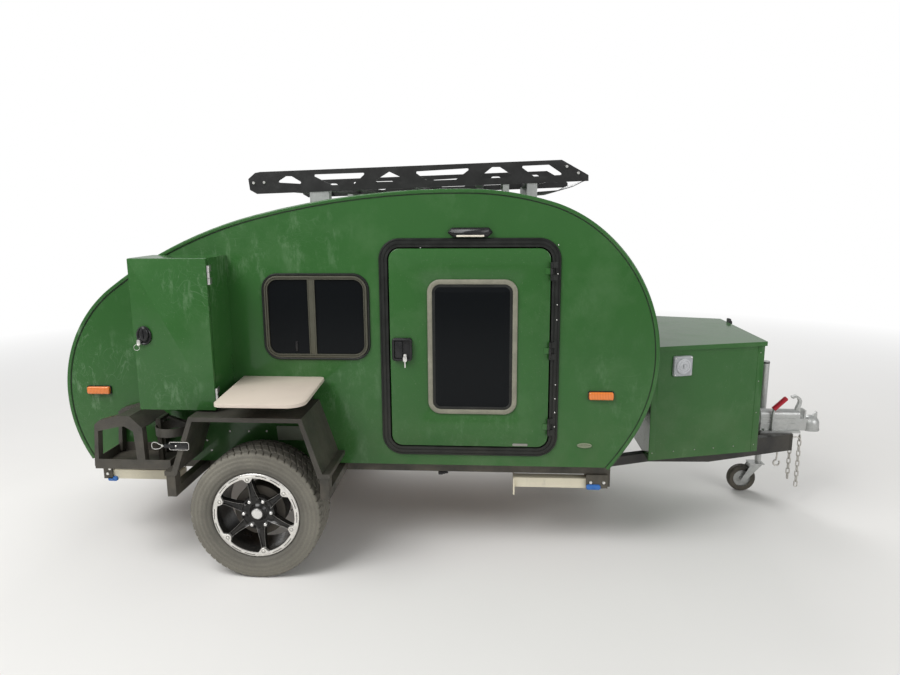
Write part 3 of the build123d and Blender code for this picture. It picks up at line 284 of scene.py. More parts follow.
def tube(path, r, up, steps=10, closed=False):
    """A round bar along a path: the path's points with a circle of radius r round each."""
    return sweep(path, circle(r, steps), up, closed)


def eased(points, rounds=2):
    """A path with its corners cut a few times over: 3/4 p + 1/4 q and 1/4 p + 3/4 q for each run p q."""
    points = np.asarray(points, float)
    for _ in range(rounds):
        p, q = points[:-1], points[1:]
        cut = np.stack([0.75 * p + 0.25 * q, 0.25 * p + 0.75 * q], 1).reshape(-1, points.shape[1])
        points = np.concatenate([points[:1], cut[1:-1], points[-1:]])
    return points


def ellipse(x, z, half_x, half_z, steps=24):
    """An ellipse's outline with its normals: (a cos t, b sin t), (b cos t, a sin t) made unit length."""
    round_points = circle(1.0, steps)
    normals = round_points * (half_z, half_x)
    points = round_points * (half_x, half_z) + (x, z)
    return points, normals / np.linalg.norm(normals, axis=1, keepdims=True)


def teardrop():
    """The side's outline without its straight bottom: arcs c + r (-sin a, cos a), with a falling by each
    sweep from the start's heading. Gives points and outward normals."""
    point = np.array(OUTLINE_START)
    heading = math.radians(OUTLINE_HEADING)
    points, normals = [], []
    for radius, turn in OUTLINE_ARCS:
        steps = max(4, round(turn / 2.0))
        angle = heading - math.radians(turn) * np.linspace(0, 1, steps + 1)
        out = np.stack([-np.sin(angle), np.cos(angle)], -1)
        arc = point - radius * out[0] + radius * out
        points.append(arc[:-1])
        normals.append(out[:-1])
        point = arc[-1]
        heading = angle[-1]
    points.append(arc[-1:])
    normals.append(out[-1:])
    return np.concatenate(points), np.concatenate(normals)


def copies(part, offsets):
    """Copies of a part, each moved by an offset: p + o."""
    places, corners, counts = part
    offsets = np.asarray(offsets, float)
    moved = (places[None] + offsets[:, None]).reshape(-1, 3)
    shifted = (corners[None] + np.arange(len(offsets))[:, None] * len(places)).ravel()
    return moved, shifted, np.tile(counts, len(offsets))


def turned(part, degrees):
    """A part turned round the wheel's axle by an angle t, from +x towards +z:
    (x cos t - z sin t, y, x sin t + z cos t) from the axle."""
    places, corners, counts = part
    c, s = math.cos(math.radians(degrees)), math.sin(math.radians(degrees))
    spin = np.array([[c, 0, s], [0, 1, 0], [-s, 0, c]])
    middle = np.array([0.0, 0.0, WHEEL_Z])
    return (places - middle) @ spin + middle, corners, counts


def mirrored(part):
    """A part's mirror image on the left-hand side: (x, -y, z)."""
    return part[0] * np.array([1.0, -1.0, 1.0]), part[1], part[2]


def joined(parts):
    """All parts as one list of places, corners and face sizes."""
    starts = np.cumsum([0] + [len(part[0]) for part in parts[:-1]])
    places = np.concatenate([part[0] for part in parts])
    corners = np.concatenate([part[1] + start for part, start in zip(parts, starts)])
    return places, corners, np.concatenate([part[2] for part in parts])


def linked(name, data):
    """Make an object of a mesh, light or camera and link it to the scene."""
    made = bpy.data.objects.new(name, data)
    bpy.context.scene.collection.objects.link(made)
    return made


def keep(name, parts, body, made, hides=(), sharp=38.0):
    """Put closed parts into one object that rides on a body, with its faces turned outwards."""
    places, corners, counts = joined(parts)
    mesh = bpy.data.meshes.new(name)
    mesh.vertices.add(len(places))
    mesh.vertices.foreach_set("co", (places * MM + PLACE).ravel())
    mesh.loops.add(len(corners))
    mesh.polygons.add(len(counts))
    mesh.polygons.foreach_set("loop_start", np.cumsum(counts) - counts)
    mesh.polygons.foreach_set("vertices", corners.astype(np.int32))
    mesh.update(calc_edges=True)
    work = bmesh.new()
    work.from_mesh(mesh)
    bmesh.ops.recalc_face_normals(work, faces=work.faces)
    work.to_mesh(mesh)
    work.free()
    mesh.polygons.foreach_set("use_smooth", np.ones(len(mesh.polygons), bool))
    mesh.set_sharp_from_angle(angle=math.radians(sharp))
    mesh.materials.append(made)
    piece = linked(name, mesh)
    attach(piece, body)
    if hides:
        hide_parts(*hides)
    return piece


def keep_both(name, parts, made, hides=(), sharp=38.0):
    """Keep parts and their mirror images on the trailer as one piece."""
    keep(name, parts + [mirrored(part) for part in parts], "trailer", made, hides, sharp)


def keep_pair(name, parts, body, made, hides=(), sharp=38.0):
    """Keep a piece on a right-hand body and its mirror image on the left-hand one."""
    for side, own in (("right", parts), ("left", [mirrored(part) for part in parts])):
        hidden = [f"{word}_{side}" for word in hides]
        keep(f"{name}_{side}", own, f"{body}_{side}", made, hidden, sharp)


def bolts(places, r, axes=SIDE):
    """Hexagon heads of radius r with chamfered tops at places on the trailer, along the axes' depth."""
    head = [(0, -0.5), (r, -0.5), (r, 0.7 * r), (0.86 * r, 0.84 * r), (0, 0.84 * r)]
    return copies(lathe(head, (0, 0, 0), axes, 6), places)


def screws(places, r, axes=SIDE):
    """Round pan heads of radius r."""
    dome = [(0, -0.5), (r, -0.5), (r, 0.25 * r), (0.8 * r, 0.55 * r), (0.4 * r, 0.7 * r), (0, 0.72 * r)]
    return copies(lathe(dome, (0, 0, 0), axes, 10), places)


def side_places(points, depth):
    """Places (x, -depth, z) on the right-hand side for (x, z) points."""
    return at([(x, z, depth) for x, z in points])


def knuckles(x, depth, ends, r=7.0):
    """Hinge knuckles with chamfered ends that stand along z at x and depth, one for each (z0, z1)."""
    made = []
    for z0, z1 in ends:
        edge = [(0, z0), (0.85 * r, z0), (r, z0 + 1), (r, z1 - 1), (0.85 * r, z1), (0, z1)]
        made.append(lathe(edge, (x, -depth, 0), DECK, 16))
    return made


def leaf(x0, d0, x1, d1, z0, z1, t=4.0):
    """A flat hinge leaf from (x0, depth d0) to (x1, depth d1), between two heights."""
    h, half = (z1 - z0) / 2, t / 2
    path = [(x0, -d0, (z0 + z1) / 2), (x1, -d1, (z0 + z1) / 2)]
    return sweep(path, [(-half, -h), (half, -h), (half, h), (-half, h)], (0, 0, 1))


# Node helpers


def node(tree, kind, inputs=None, **settings):
    """Add a shader node, set its properties, and set or link its inputs by name or number."""
    made = tree.nodes.new(kind)
    for key, value in settings.items():
        setattr(made, key, value)
    for key, value in (inputs or {}).items():
        socket = made.inputs[key]
        if isinstance(value, bpy.types.NodeSocket):
            tree.links.new(value, socket)
        else:
            socket.default_value = value
    return made


def rgba(value):
    """A colour with full alpha."""
    return (*value, 1.0)


def lighter(value, gain, lift=0.0):
    """A colour times a gain plus a lift, kept below white."""
    return rgba(min(1.0, c * gain + lift) for c in value)


def mapped(tree, value, low, high, out_low=0.0, out_high=1.0):
    """Stretch a value from one range to another and clamp it."""
    given = {"Value": value, "From Min": low, "From Max": high, "To Min": out_low, "To Max": out_high}
    return node(tree, "ShaderNodeMapRange", given).outputs["Result"]


def number(tree, operation, a, b=0.0, clamp=False):
    """One step of arithmetic on numbers."""
    return node(tree, "ShaderNodeMath", {0: a, 1: b}, operation=operation, use_clamp=clamp).outputs[0]


def times(tree, a, b):
    """The product of two masks, kept between 0 and 1."""
    return number(tree, "MULTIPLY", a, b, clamp=True)


def vector(tree, operation, a, b=(0.0, 0.0, 0.0), out="Vector"):
    """One step of arithmetic on vectors."""
    return node(tree, "ShaderNodeVectorMath", {0: a, 1: b}, operation=operation).outputs[out]


def along(tree, point, axis):
    """A point's X, Y or Z."""
    return node(tree, "ShaderNodeSeparateXYZ", {0: point}).outputs[axis]


def mixed(tree, factor, a, b):
    """Mix two colours by a factor."""
    return node(tree, "ShaderNodeMix", {0: factor, 6: a, 7: b}, data_type="RGBA").outputs[2]


def object_point(tree):
    """The shaded point in Object coordinates."""
    return node(tree, "ShaderNodeTexCoord").outputs["Object"]


def noise(tree, point, scale, detail=4.0, rough=0.55, stretch=None):
    """Noise on Object coordinates, stretched per axis if stretch is given."""
    if stretch is not None:
        point = node(tree, "ShaderNodeMapping", {"Vector": point, "Scale": stretch}).outputs[0]
    given = {"Vector": point, "Scale": scale, "Detail": detail, "Roughness": rough}
    return node(tree, "ShaderNodeTexNoise", given).outputs["Fac"]


def waves(tree, point, scale, axis):
    """Even waves along X or Y, from 0 to 1."""
    given = {"Vector": point, "Scale": scale}
    return node(tree, "ShaderNodeTexWave", given, bands_direction=axis).outputs["Fac"]


def build_scuffs(tree, given):
    """Short thin scratches, soft smudges and small specks, each a mask from 0 to 1."""
    point = object_point(tree)
    bend = {"Vector": point, "Scale": 3.0, "Detail": 2.0, "Distortion": 1.0}
    bent = node(tree, "ShaderNodeTexNoise", bend)
    drawn = vector(tree, "ADD", point, bent.outputs["Color"])
    cells = node(tree, "ShaderNodeMapping", {"Vector": drawn, "Scale": (5.0, 5.0, 16.0)}).outputs[0]
    edges = node(tree, "ShaderNodeTexVoronoi", {"Vector": cells, "Scale": 1.6}, feature="DISTANCE_TO_EDGE")
    line = mapped(tree, edges.outputs["Distance"], 0.022, 0.0)
    wisp = mapped(tree, noise(tree, point, 17.0, 7.0, 0.72, stretch=(1.0, 1.0, 0.4)), 0.53, 0.66)
    where = mapped(tree, noise(tree, point, 2.2), 0.46, 0.62)
    line = number(tree, "MAXIMUM", times(tree, line, 0.55), wisp)
    smudge = mapped(tree, noise(tree, point, 3.1, 7.0, 0.66), 0.50, 0.78)
    speck = mapped(tree, noise(tree, point, 160.0, 2.0), 0.68, 0.74)
    masks = {"Scratch": times(tree, line, where), "Smudge": smudge, "Speck": speck}
    return {name: times(tree, mask, given["Amount"]) for name, mask in masks.items()}


def build_road_dust(tree, given):
    """Dust that thins out with height over the ground, broken up by noise."""
    point = object_point(tree)
    low = mapped(tree, along(tree, point, "Z"), given["Top"], 0.05)
    patch = mapped(tree, noise(tree, point, 7.0, 8.0, 0.62), 0.30, 0.72)
    fine = mapped(tree, noise(tree, point, 240.0, 3.0), 0.35, 0.7, 0.75, 1.0)
    return {"Mask": times(tree, times(tree, times(tree, low, patch), fine), given["Amount"])}


def build_grain(tree, given):
    """A fine even roughness of the surface: round cells and soft noise, as heights from 0 to 1."""
    point = object_point(tree)
    spread = {"Vector": point, "Scale": given["Scale"]}
    cell = node(tree, "ShaderNodeTexVoronoi", spread, feature="SMOOTH_F1")
    soft = node(tree, "ShaderNodeTexNoise", {**spread, "Detail": 3.0})
    return {"Cells": cell.outputs["Distance"], "Height": soft.outputs["Fac"]}


# inputs with their defaults, outputs and builder of each shader node group
GROUPS = {
    "scuffs": ({"Amount": 1.0}, ("Scratch", "Smudge", "Speck"), build_scuffs),
    "road_dust": ({"Amount": 1.0, "Top": 1.0}, ("Mask",), build_road_dust),
    "grain": ({"Scale": 400.0}, ("Cells", "Height"), build_grain),
}


def new_group(name):
    """Make a shader node group from its row of the table."""
    inputs, outputs, build = GROUPS[name]
    tree = bpy.data.node_groups.new(name, "ShaderNodeTree")
    kind = "NodeSocketFloat"
    for label, value in inputs.items():
        tree.interface.new_socket(name=label, in_out="INPUT", socket_type=kind).default_value = value
    for label in outputs:
        tree.interface.new_socket(name=label, in_out="OUTPUT", socket_type=kind)
    given = tree.nodes.new("NodeGroupInput")
    node(tree, "NodeGroupOutput", build(tree, given.outputs))
    return tree


def use_group(tree, name, **values):
    """Place a node group, made on its first use, and set its inputs."""
    placed = tree.nodes.new("ShaderNodeGroup")
    placed.node_tree = bpy.data.node_groups.get(name) or new_group(name)
    for key, value in values.items():
        placed.inputs[key].default_value = value
    return placed.outputs


def dusted(tree, col, amount, top):
    """Lay road dust over a colour. Gives the new colour and the dust's mask."""
    mask = use_group(tree, "road_dust", Amount=amount, Top=top)["Mask"]
    return mixed(tree, mask, col, rgba(finishes().dust)), mask


def finish(name, base, rough, build, **sockets):
    """Make a material once. Its build gives the sockets that change over the surface, with a height as
    (socket, distance, strength)."""
    if name in bpy.data.materials:
        return bpy.data.materials[name]
    made = bpy.data.materials.new(name)
    made.use_nodes = True
    tree = made.node_tree
    shader = tree.nodes["Principled BSDF"]
    shader.inputs["Base Color"].default_value = rgba(base)
    shader.inputs["Roughness"].default_value = rough
    for key, value in sockets.items():
        shader.inputs[key.replace("_", " ")].default_value = value
    for key, socket in build(tree, object_point(tree)).items():
        if key == "Height":
            given = dict(zip(("Height", "Distance", "Strength"), socket))
            socket, key = node(tree, "ShaderNodeBump", given).outputs["Normal"], "Normal"
        tree.links.new(socket, shader.inputs[key])
    return made


def green_paint(name="body_green", inside=None):
    """Gloss green with pale wispy scuffs, hand smudges and a little dust low down. With inside given, it
    makes the mask of the faces that look into the cabin, which are lined with pale plywood."""
    base = tuple(finishes().paint)

    def build(tree, point):
        worn = use_group(tree, "scuffs", Amount=0.7)
        rear = mapped(tree, along(tree, point, "X"), AXLE_X + 0.6, AXLE_X - 0.3, 0.16, 0.6)
        tint = mapped(tree, noise(tree, point, 1.3), 0.3, 0.7, 0.0, 0.35)
        col = mixed(tree, tint, rgba(base), lighter(base, 1.35, 0.005))
        col = mixed(tree, times(tree, worn["Smudge"], 0.30), col, (0.14, 0.24, 0.12, 1.0))
        col = mixed(tree, times(tree, worn["Scratch"], rear), col, (0.26, 0.38, 0.24, 1.0))
        col = mixed(tree, times(tree, worn["Speck"], 0.22), col, (0.35, 0.40, 0.30, 1.0))
        col, dust = dusted(tree, col, 0.25, 0.9)
        rough = number(tree, "ADD", mapped(tree, worn["Smudge"], 0.0, 1.0, 0.14, 0.36), dust, clamp=True)
        if inside:
            lined = inside(tree, point)
            veins = mapped(tree, noise(tree, point, 5.0, 6.0, 0.6, stretch=(1.0, 10.0, 10.0)), 0.3, 0.7)
            ply = mixed(tree, veins, (0.62, 0.52, 0.39, 1.0), (0.50, 0.39, 0.27, 1.0))
            col = mixed(tree, lined, col, ply)
            rough = number(tree, "MAXIMUM", rough, times(tree, lined, 0.5), clamp=True)
        height = (noise(tree, point, 90.0, 2.0), 0.0004, 0.12)
        return {"Base Color": col, "Roughness": rough, "Height": height}

    return finish(name, base, 0.18, build, Coat_Weight=0.15, Specular_IOR_Level=0.25)


def lined_paint(name, depth):
    """Green paint whose faces nearer the middle plane than a depth are lined."""

    def inside(tree, point):
        off = number(tree, "ABSOLUTE", along(tree, point, "Y"))
        return number(tree, "LESS_THAN", off, depth * MM)

    return green_paint(name, inside)


def shell_paint():
    """Green paint for roof and hatch, lined where a face's normal looks towards the cabin's middle."""
    middle = (AXLE_X + 0.35, 0.0, 1.05)

    def inside(tree, point):
        ray = vector(tree, "MULTIPLY", vector(tree, "SUBTRACT", point, middle), (1.0, 0.0, 1.0))
        normal = node(tree, "ShaderNodeTexCoord").outputs["Normal"]
        return number(tree, "LESS_THAN", vector(tree, "DOT_PRODUCT", ray, normal, "Value"), -0.05)

    return green_paint("shell_paint", inside)


def textured_steel(name="textured_steel", base=None, dust=0.25, hammer=False, top=1.0, rough=0.45):
    """Powder coat: a fine orange peel or a coarser hammered one, with dust that settles low down."""
    base = base or tuple(finishes().steel)

    def build(tree, point):
        fine = use_group(tree, "grain", Scale=220.0 if hammer else 700.0)
        worn = mapped(tree, noise(tree, point, 12.0, 8.0, 0.7), 0.45, 0.75)
        col = mixed(tree, times(tree, worn, 0.35), rgba(base), lighter(base, 2.2, 0.01))
        col, _ = dusted(tree, col, dust, top)
        shine = mapped(tree, worn, 0.0, 1.0, rough - 0.08, rough + 0.18)
        height = (fine["Cells"], 0.0014, 0.6) if hammer else (fine["Height"], 0.0005, 0.5)
        return {"Base Color": col, "Roughness": shine, "Height": height}

    return finish(name, base, rough, build, Specular_IOR_Level=0.35)


def galvanised(name="galvanised", base=None, dust=0.12):
    """Hot-dip zinc: pale spangles with dull patches."""
    base = base or tuple(finishes().zinc)

    def build(tree, point):
        spangle = node(tree, "ShaderNodeTexVoronoi", {"Vector": point, "Scale": 85.0})
        tone = node(tree, "ShaderNodeSeparateColor", {0: spangle.outputs["Color"]}).outputs[0]
        dull = mapped(tree, noise(tree, point, 9.0, 6.0, 0.65), 0.35, 0.7)
        col = mixed(tree, mapped(tree, tone, 0.0, 1.0, 0.0, 0.4), rgba(base), lighter(base, 0.66))
        col, mask = dusted(tree, mixed(tree, times(tree, dull, 0.5), col, lighter(base, 0.82)), dust, 0.9)
        metal = mapped(tree, mask, 0.0, 0.6, 0.85, 0.1)
        shine = mapped(tree, dull, 0.0, 1.0, 0.32, 0.56)
        return {"Base Color": col, "Metallic": metal, "Roughness": shine, "Height": (tone, 0.0002, 0.25)}

    return finish(name, base, 0.4, build)


def bright_metal(name="bright_metal", base=(0.78, 0.77, 0.74), rough=0.22):
    """Machined or plated metal with fine turning marks, faintly dusty."""

    def build(tree, point):
        marks = noise(tree, point, 40.0, 3.0, 0.6, stretch=(1.0, 14.0, 1.0))
        worn = mapped(tree, noise(tree, point, 30.0, 6.0, 0.66), 0.40, 0.72)
        col = mixed(tree, times(tree, worn, 0.4), rgba(base), lighter(base, 0.7))
        col, _ = dusted(tree, col, 0.10, 1.2)
        shine = mapped(tree, marks, 0.3, 0.7, rough - 0.06, rough + 0.16)
        return {"Base Color": col, "Roughness": shine, "Height": (marks, 0.0002, 0.2)}

    return finish(name, base, rough, build, Metallic=0.9)


def pale_paint(name="pale_paint", base=None, dust=0.30, rough=0.5):
    """Cream paint, dusty and lightly marked."""
    base = base or tuple(finishes().cream)

    def build(tree, point):
        worn = use_group(tree, "scuffs", Amount=0.7)
        col = mixed(tree, times(tree, worn["Smudge"], 0.45), rgba(base), lighter(base, 0.74))
        col = mixed(tree, times(tree, worn["Scratch"], 0.6), col, (0.24, 0.22, 0.19, 1.0))
        col, _ = dusted(tree, col, dust, 0.8)
        shine = mapped(tree, worn["Smudge"], 0.0, 1.0, rough, rough + 0.2)
        return {"Base Color": col, "Roughness": shine, "Height": (noise(tree, point, 300.0), 0.0003, 0.3)}

    return finish(name, base, rough, build)


def rubber_seal(name="rubber_seal", base=None, dust=0.12):
    """Matt black rubber, greyed by wear and dust."""
    base = base or tuple(finishes().rubber)

    def build(tree, point):
        grey = mapped(tree, noise(tree, point, 16.0, 7.0, 0.65), 0.40, 0.75)
        col = mixed(tree, times(tree, grey, 0.5), rgba(base), lighter(base, 2.4, 0.004))
        col, _ = dusted(tree, col, dust, 1.2)
        shine = mapped(tree, grey, 0.0, 1.0, 0.30, 0.57)
        height = (noise(tree, point, 420.0, 3.0), 0.0003, 0.35)
        return {"Base Color": col, "Roughness": shine, "Height": height}

    return finish(name, base, 0.42, build, Specular_IOR_Level=0.3)


def tinted_glass():
    """Dark tinted acrylic that shows a little of the inside."""

    def build(tree, point):
        smear = mapped(tree, noise(tree, point, 4.0, 7.0, 0.7), 0.5, 0.8)
        return {"Roughness": mapped(tree, smear, 0.0, 1.0, 0.03, 0.12)}

    shares = {"Transmission_Weight": 0.015, "IOR": 1.33, "Specular_IOR_Level": 0.25}
    return finish("tinted_pane", (0.004, 0.005, 0.006), 0.04, build, **shares)


def lamp_lens(name, base):
    """Moulded lamp plastic with fine ribs inside."""

    def build(tree, point):
        ribs = waves(tree, point, 40.0, "X")
        tone = mapped(tree, ribs, 0.0, 1.0, 0.0, 0.5)
        col = mixed(tree, tone, rgba(base), lighter(base, 0.45))
        return {"Base Color": col, "Height": (ribs, 0.0006, 0.4)}

    return finish(name, base, 0.18, build, Coat_Weight=0.5)


def plain_plastic(name, base, rough=0.42):
    """Moulded plastic with a fine grain and faint wear."""

    def build(tree, point):
        worn = mapped(tree, noise(tree, point, 22.0, 7.0, 0.66), 0.42, 0.74)
        col = mixed(tree, times(tree, worn, 0.4), rgba(base), lighter(base, 1.5, 0.012))
        fine = use_group(tree, "grain", Scale=500.0)
        shine = mapped(tree, worn, 0.0, 1.0, rough - 0.08, rough + 0.14)
        return {"Base Color": col, "Roughness": shine, "Height": (fine["Height"], 0.0003, 0.3)}

    return finish(name, base, rough, build, Specular_IOR_Level=0.35)


def tyre_rubber():
    """Dusty tyre rubber. The dust grows with the distance from the axle, and bands round the axle in it
    paint the shade of the sidewall's rings."""
    base = tuple(finishes().tyre)
    axle = (AXLE_X, 0.0, WHEEL_Z * MM)

    def build(tree, point):
        out = vector(tree, "MULTIPLY", vector(tree, "SUBTRACT", point, axle), (1.0, 0.0, 1.0))
        reach = vector(tree, "LENGTH", out, out="Value")
        patch = mapped(tree, noise(tree, point, 6.0, 8.0, 0.6), 0.25, 0.65, 0.62, 0.94)
        fine = mapped(tree, noise(tree, point, 180.0, 4.0), 0.32, 0.66, 0.7, 1.0)
        # concentric bands about 21 mm apart in the dust: painted shade of the sidewall's rings
        wave = number(tree, "SINE", number(tree, "MULTIPLY", reach, 300.0))
        ring_shade = mapped(tree, wave, -1.0, 1.0, 0.78, 1.0)
        lined = times(tree, mapped(tree, reach, 0.222, 0.285, 0.5, 1.0), ring_shade)
        dust_and_ring_shade = times(tree, times(tree, patch, lined), fine)
        col = mixed(tree, times(tree, dust_and_ring_shade, 0.9), rgba(base), (0.265, 0.250, 0.205, 1.0))
        shine = mapped(tree, dust_and_ring_shade, 0.0, 1.0, 0.62, 0.92)
        height = (noise(tree, point, 260.0, 4.0), 0.0006, 0.4)
        return {"Base Color": col, "Roughness": shine, "Height": height}

    return finish("tyre_rubber", base, 0.75, build)


def wood(name, pale, dark):
    """Plywood: long stretched grain with fine pores."""

    def build(tree, point):
        long_grain = noise(tree, point, 6.0, 6.0, 0.6, stretch=(1.0, 12.0, 12.0))
        pores = noise(tree, point, 60.0, 3.0, 0.6, stretch=(1.0, 9.0, 9.0))
        broad = mapped(tree, long_grain, 0.3, 0.7, 0.0, 0.8)
        tone = number(tree, "ADD", broad, mapped(tree, pores, 0.5, 0.8, 0.0, 0.3), clamp=True)
        return {"Base Color": mixed(tree, tone, rgba(pale), rgba(dark)), "Height": (pores, 0.0003, 0.3)}

    return finish(name, pale, 0.45, build)


def cloth():
    """A woven cover: two crossed sets of fine threads, with soft darker patches in its tone that paint the
    shade of creases.
    """

    def build(tree, point):
        warp, weft = (waves(tree, point, 110.0, axis) for axis in "XY")
        weave = number(tree, "MAXIMUM", warp, weft)
        # soft darker patches: painted shade of creases in the cover
        worn = mapped(tree, noise(tree, point, 5.0, 5.0), 0.3, 0.7, 0.0, 0.4)
        tone = mapped(tree, weave, 0.0, 1.0, 0.0, 0.5)
        col = mixed(tree, tone, (0.30, 0.30, 0.29, 1.0), (0.42, 0.42, 0.40, 1.0))
        col = mixed(tree, worn, col, (0.24, 0.24, 0.235, 1.0))
        return {"Base Color": col, "Height": (weave, 0.0005, 0.5)}

    return finish("cover_cloth", (0.36, 0.36, 0.34), 0.85, build, Sheen_Weight=0.3)


def wheel_black():
    """Gloss black of the wheels."""
    return textured_steel("wheel_black", (0.008, 0.008, 0.008), dust=0.07, top=0.9, rough=0.2)


def window_grey():
    """Grey paint of the window bands."""
    return textured_steel("window_grey", tuple(finishes().band), dust=0.05, rough=0.4)


def black_plastic():
    """Black plastic of locks, latches and housings."""
    return plain_plastic("moulded_black", (0.012, 0.012, 0.013), rough=0.30)


def board_top():
    """Pale laminate of the table tops."""
    return pale_paint("board_top", tuple(finishes().board), dust=0.1, rough=0.36)


# Steps


class TRAILER_OT_stage(bpy.types.Operator):
    """Floor, surround, lights and the camera at the photo's viewpoint"""

    bl_idname = "trailer.stage"
    bl_label = "Stage"

    def execute(self, context):
        scene = bpy.context.scene
        stage = scene.trailer_stage
        scene.view_settings.view_transform = "Standard"
        self.camera(scene)
        self.floor(stage)
        self.surround(scene, stage)
        # name, place, point looked at, width, share of the key light's power
        for name, place, aim, wide, share in (
            ("key", (-3.5, -4.0, 6.0), (0.0, 0.0, 0.8), 4.0, 1.0),
            ("fill", (5.5, -5.0, 3.5), (0.6, 0.0, 0.8), 3.5, 0.35),
            ("back", (0.0, 5.5, 5.0), (0.0, 0.0, 1.0), 4.0, 0.55),
        ):
            lamp = bpy.data.lights.new(name, "AREA")
            lamp.size = wide
            lamp.energy = stage.key_power * share
            holder = linked(name, lamp)
            holder.location = place
            holder.rotation_euler = (Vector(aim) - Vector(place)).to_track_quat("-Z", "Y").to_euler()
        return {"FINISHED"}

    def camera(self, scene):
        """A pinhole whose focal length in pixels, place and angles were fitted to the photo."""
        focal, picture_width, sensor = 676.0, 900.0, 36.0
        place = (AXLE_X + 1.1735, -4.1085, 1.8153)
        sight = bpy.data.cameras.new("camera")
        sight.sensor_width = sensor
        sight.lens = focal / picture_width * sensor
        sight.clip_end = 200.0
        scene.camera = linked("camera", sight)
        pitch, yaw, roll = math.radians(10.678), math.radians(-3.787), math.radians(0.337)
        ahead = Vector((math.sin(yaw) * math.cos(pitch), math.cos(yaw) * math.cos(pitch), -math.sin(pitch)))
        flat = Vector((math.cos(yaw), -math.sin(yaw), 0.0))
        below = ahead.cross(flat)
        right = math.cos(roll) * flat + math.sin(roll) * below
        down = -math.sin(roll) * flat + math.cos(roll) * below
        turn = Matrix((right, -down, -ahead)).transposed().to_4x4()
        scene.camera.matrix_world = Matrix.Translation(place) @ turn

    def floor(self, stage):
        """A wide floor that keeps the trailer's shadow near it and fades to plain white further off."""
        reach = 40.0
        fade_start, fade_end = 3.2, 9.0
        floor = bpy.data.meshes.new("floor")
        corners = [(-reach, -reach, 0), (reach, -reach, 0), (reach, reach, 0), (-reach, reach, 0)]
        floor.from_pydata(corners, [], [(0, 1, 2, 3)])
        base = tuple(stage.floor)

        def build(tree, point):
            patch = mapped(tree, noise(tree, point, 1.5, 6.0), 0.3, 0.7, 0.0, 0.12)
            return {"Base Color": mixed(tree, patch, rgba(base), lighter(base, 0.9))}

        made = finish("floor_pale", base, 0.8, build)
        tree = made.node_tree
        far = vector(tree, "LENGTH", object_point(tree), out="Value")
        glow = node(tree, "ShaderNodeEmission", {"Color": WHITE, "Strength": 1.0})
        paths = tree.nodes.new("ShaderNodeLightPath")
        faded = mapped(tree, far, fade_start, fade_end)
        share = times(tree, faded, paths.outputs["Is Camera Ray"])
        lit = tree.nodes["Principled BSDF"].outputs[0]
        blend = node(tree, "ShaderNodeMixShader", {0: share, 1: lit, 2: glow.outputs[0]})
        tree.links.new(blend.outputs[0], tree.nodes["Material Output"].inputs["Surface"])
        floor.materials.append(made)
        linked("floor", floor)

    def surround(self, scene, stage):
        """A plain world: white to the camera, to mirrors and through glass, softer as a light."""
        world = bpy.data.worlds.new("surround")
        scene.world = world
        world.use_nodes = True
        tree = world.node_tree
        tree.nodes.clear()
        paths = tree.nodes.new("ShaderNodeLightPath").outputs
        seen = number(tree, "MAXIMUM", paths["Is Camera Ray"], paths["Is Transmission Ray"])
        seen = number(tree, "MAXIMUM", seen, times(tree, paths["Is Glossy Ray"], 0.25))
        lit, shown = (
            node(tree, "ShaderNodeBackground", {"Color": WHITE, "Strength": strength}).outputs[0]
            for strength in (stage.sky, 1.0)
        )
        mix = node(tree, "ShaderNodeMixShader", {0: seen, 1: lit, 2: shown})
        node(tree, "ShaderNodeOutputWorld", {"Surface": mix.outputs[0]})


class TRAILER_OT_finishes(bpy.types.Operator):
    """Finishes of the pieces that keep their CAD shape"""

    bl_idname = "trailer.finishes"
    bl_label = "Finishes"

    def execute(self, context):
        # first words of the nodes' names, finish
        groups = (
            ("side_wall", lined_paint("wall_paint", WALL - 34.0)),
            ("body_shell rear_hatch", shell_paint()),
            ("door_right door_left side_locker locker_door toolbox", green_paint()),
            ("fender rear_holder bottle_rings", textured_steel(
                "hammered_steel", (0.040, 0.038, 0.033), dust=0.45, hammer=True, top=1.2, rough=0.42)),
            ("roof_rack drawbar axle_beam", textured_steel()),
            ("chassis_frame", textured_steel("chassis_black", (0.035, 0.033, 0.028), dust=0.75, top=0.9)),
            ("rim", wheel_black()),
            ("brake_drum", textured_steel("drum_iron", (0.05, 0.045, 0.04), dust=0.5, rough=0.7)),
            ("tyre", tyre_rubber()),
            ("jockey_wheel edge_mouldings door_frames side_window_frames", rubber_seal()),
            ("door_window_frame", window_grey()),
            ("door_glass side_window_glass", tinted_glass()),
            ("door_lock locker_lock porch_lamps", black_plastic()),
            ("marker_lamps", lamp_lens("amber_lens", AMBER)),
            ("tail_lamps", lamp_lens("red_lens", LAMP_RED)),
            ("power_inlet", plain_plastic("grey_plastic", (0.50, 0.50, 0.52))),
            ("brake_lever", plain_plastic("red_grip", GRIP_RED)),
            ("coupler jockey_mast jockey_fork safety_chains rack_feet", galvanised()),
            ("front_leg rear_leg", pale_paint()),
            ("side_tables", board_top()),
            ("floor_panel", wood("floor_ply", (0.30, 0.21, 0.13), (0.16, 0.10, 0.06))),
            ("galley_partition", wood("birch_ply", (0.58, 0.42, 0.27), (0.38, 0.25, 0.14))),
            ("mattress", cloth()),
        )
        bare = set(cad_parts)
        for words, made in groups:
            for name in [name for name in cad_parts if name.startswith(tuple(words.split()))]:
                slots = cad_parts[name].data.materials
                slots.clear()
                slots.append(made)
                bare.discard(name)
        if bare:
            raise RuntimeError("nodes without a finish: " + ", ".join(sorted(bare)))
        return {"FINISHED"}


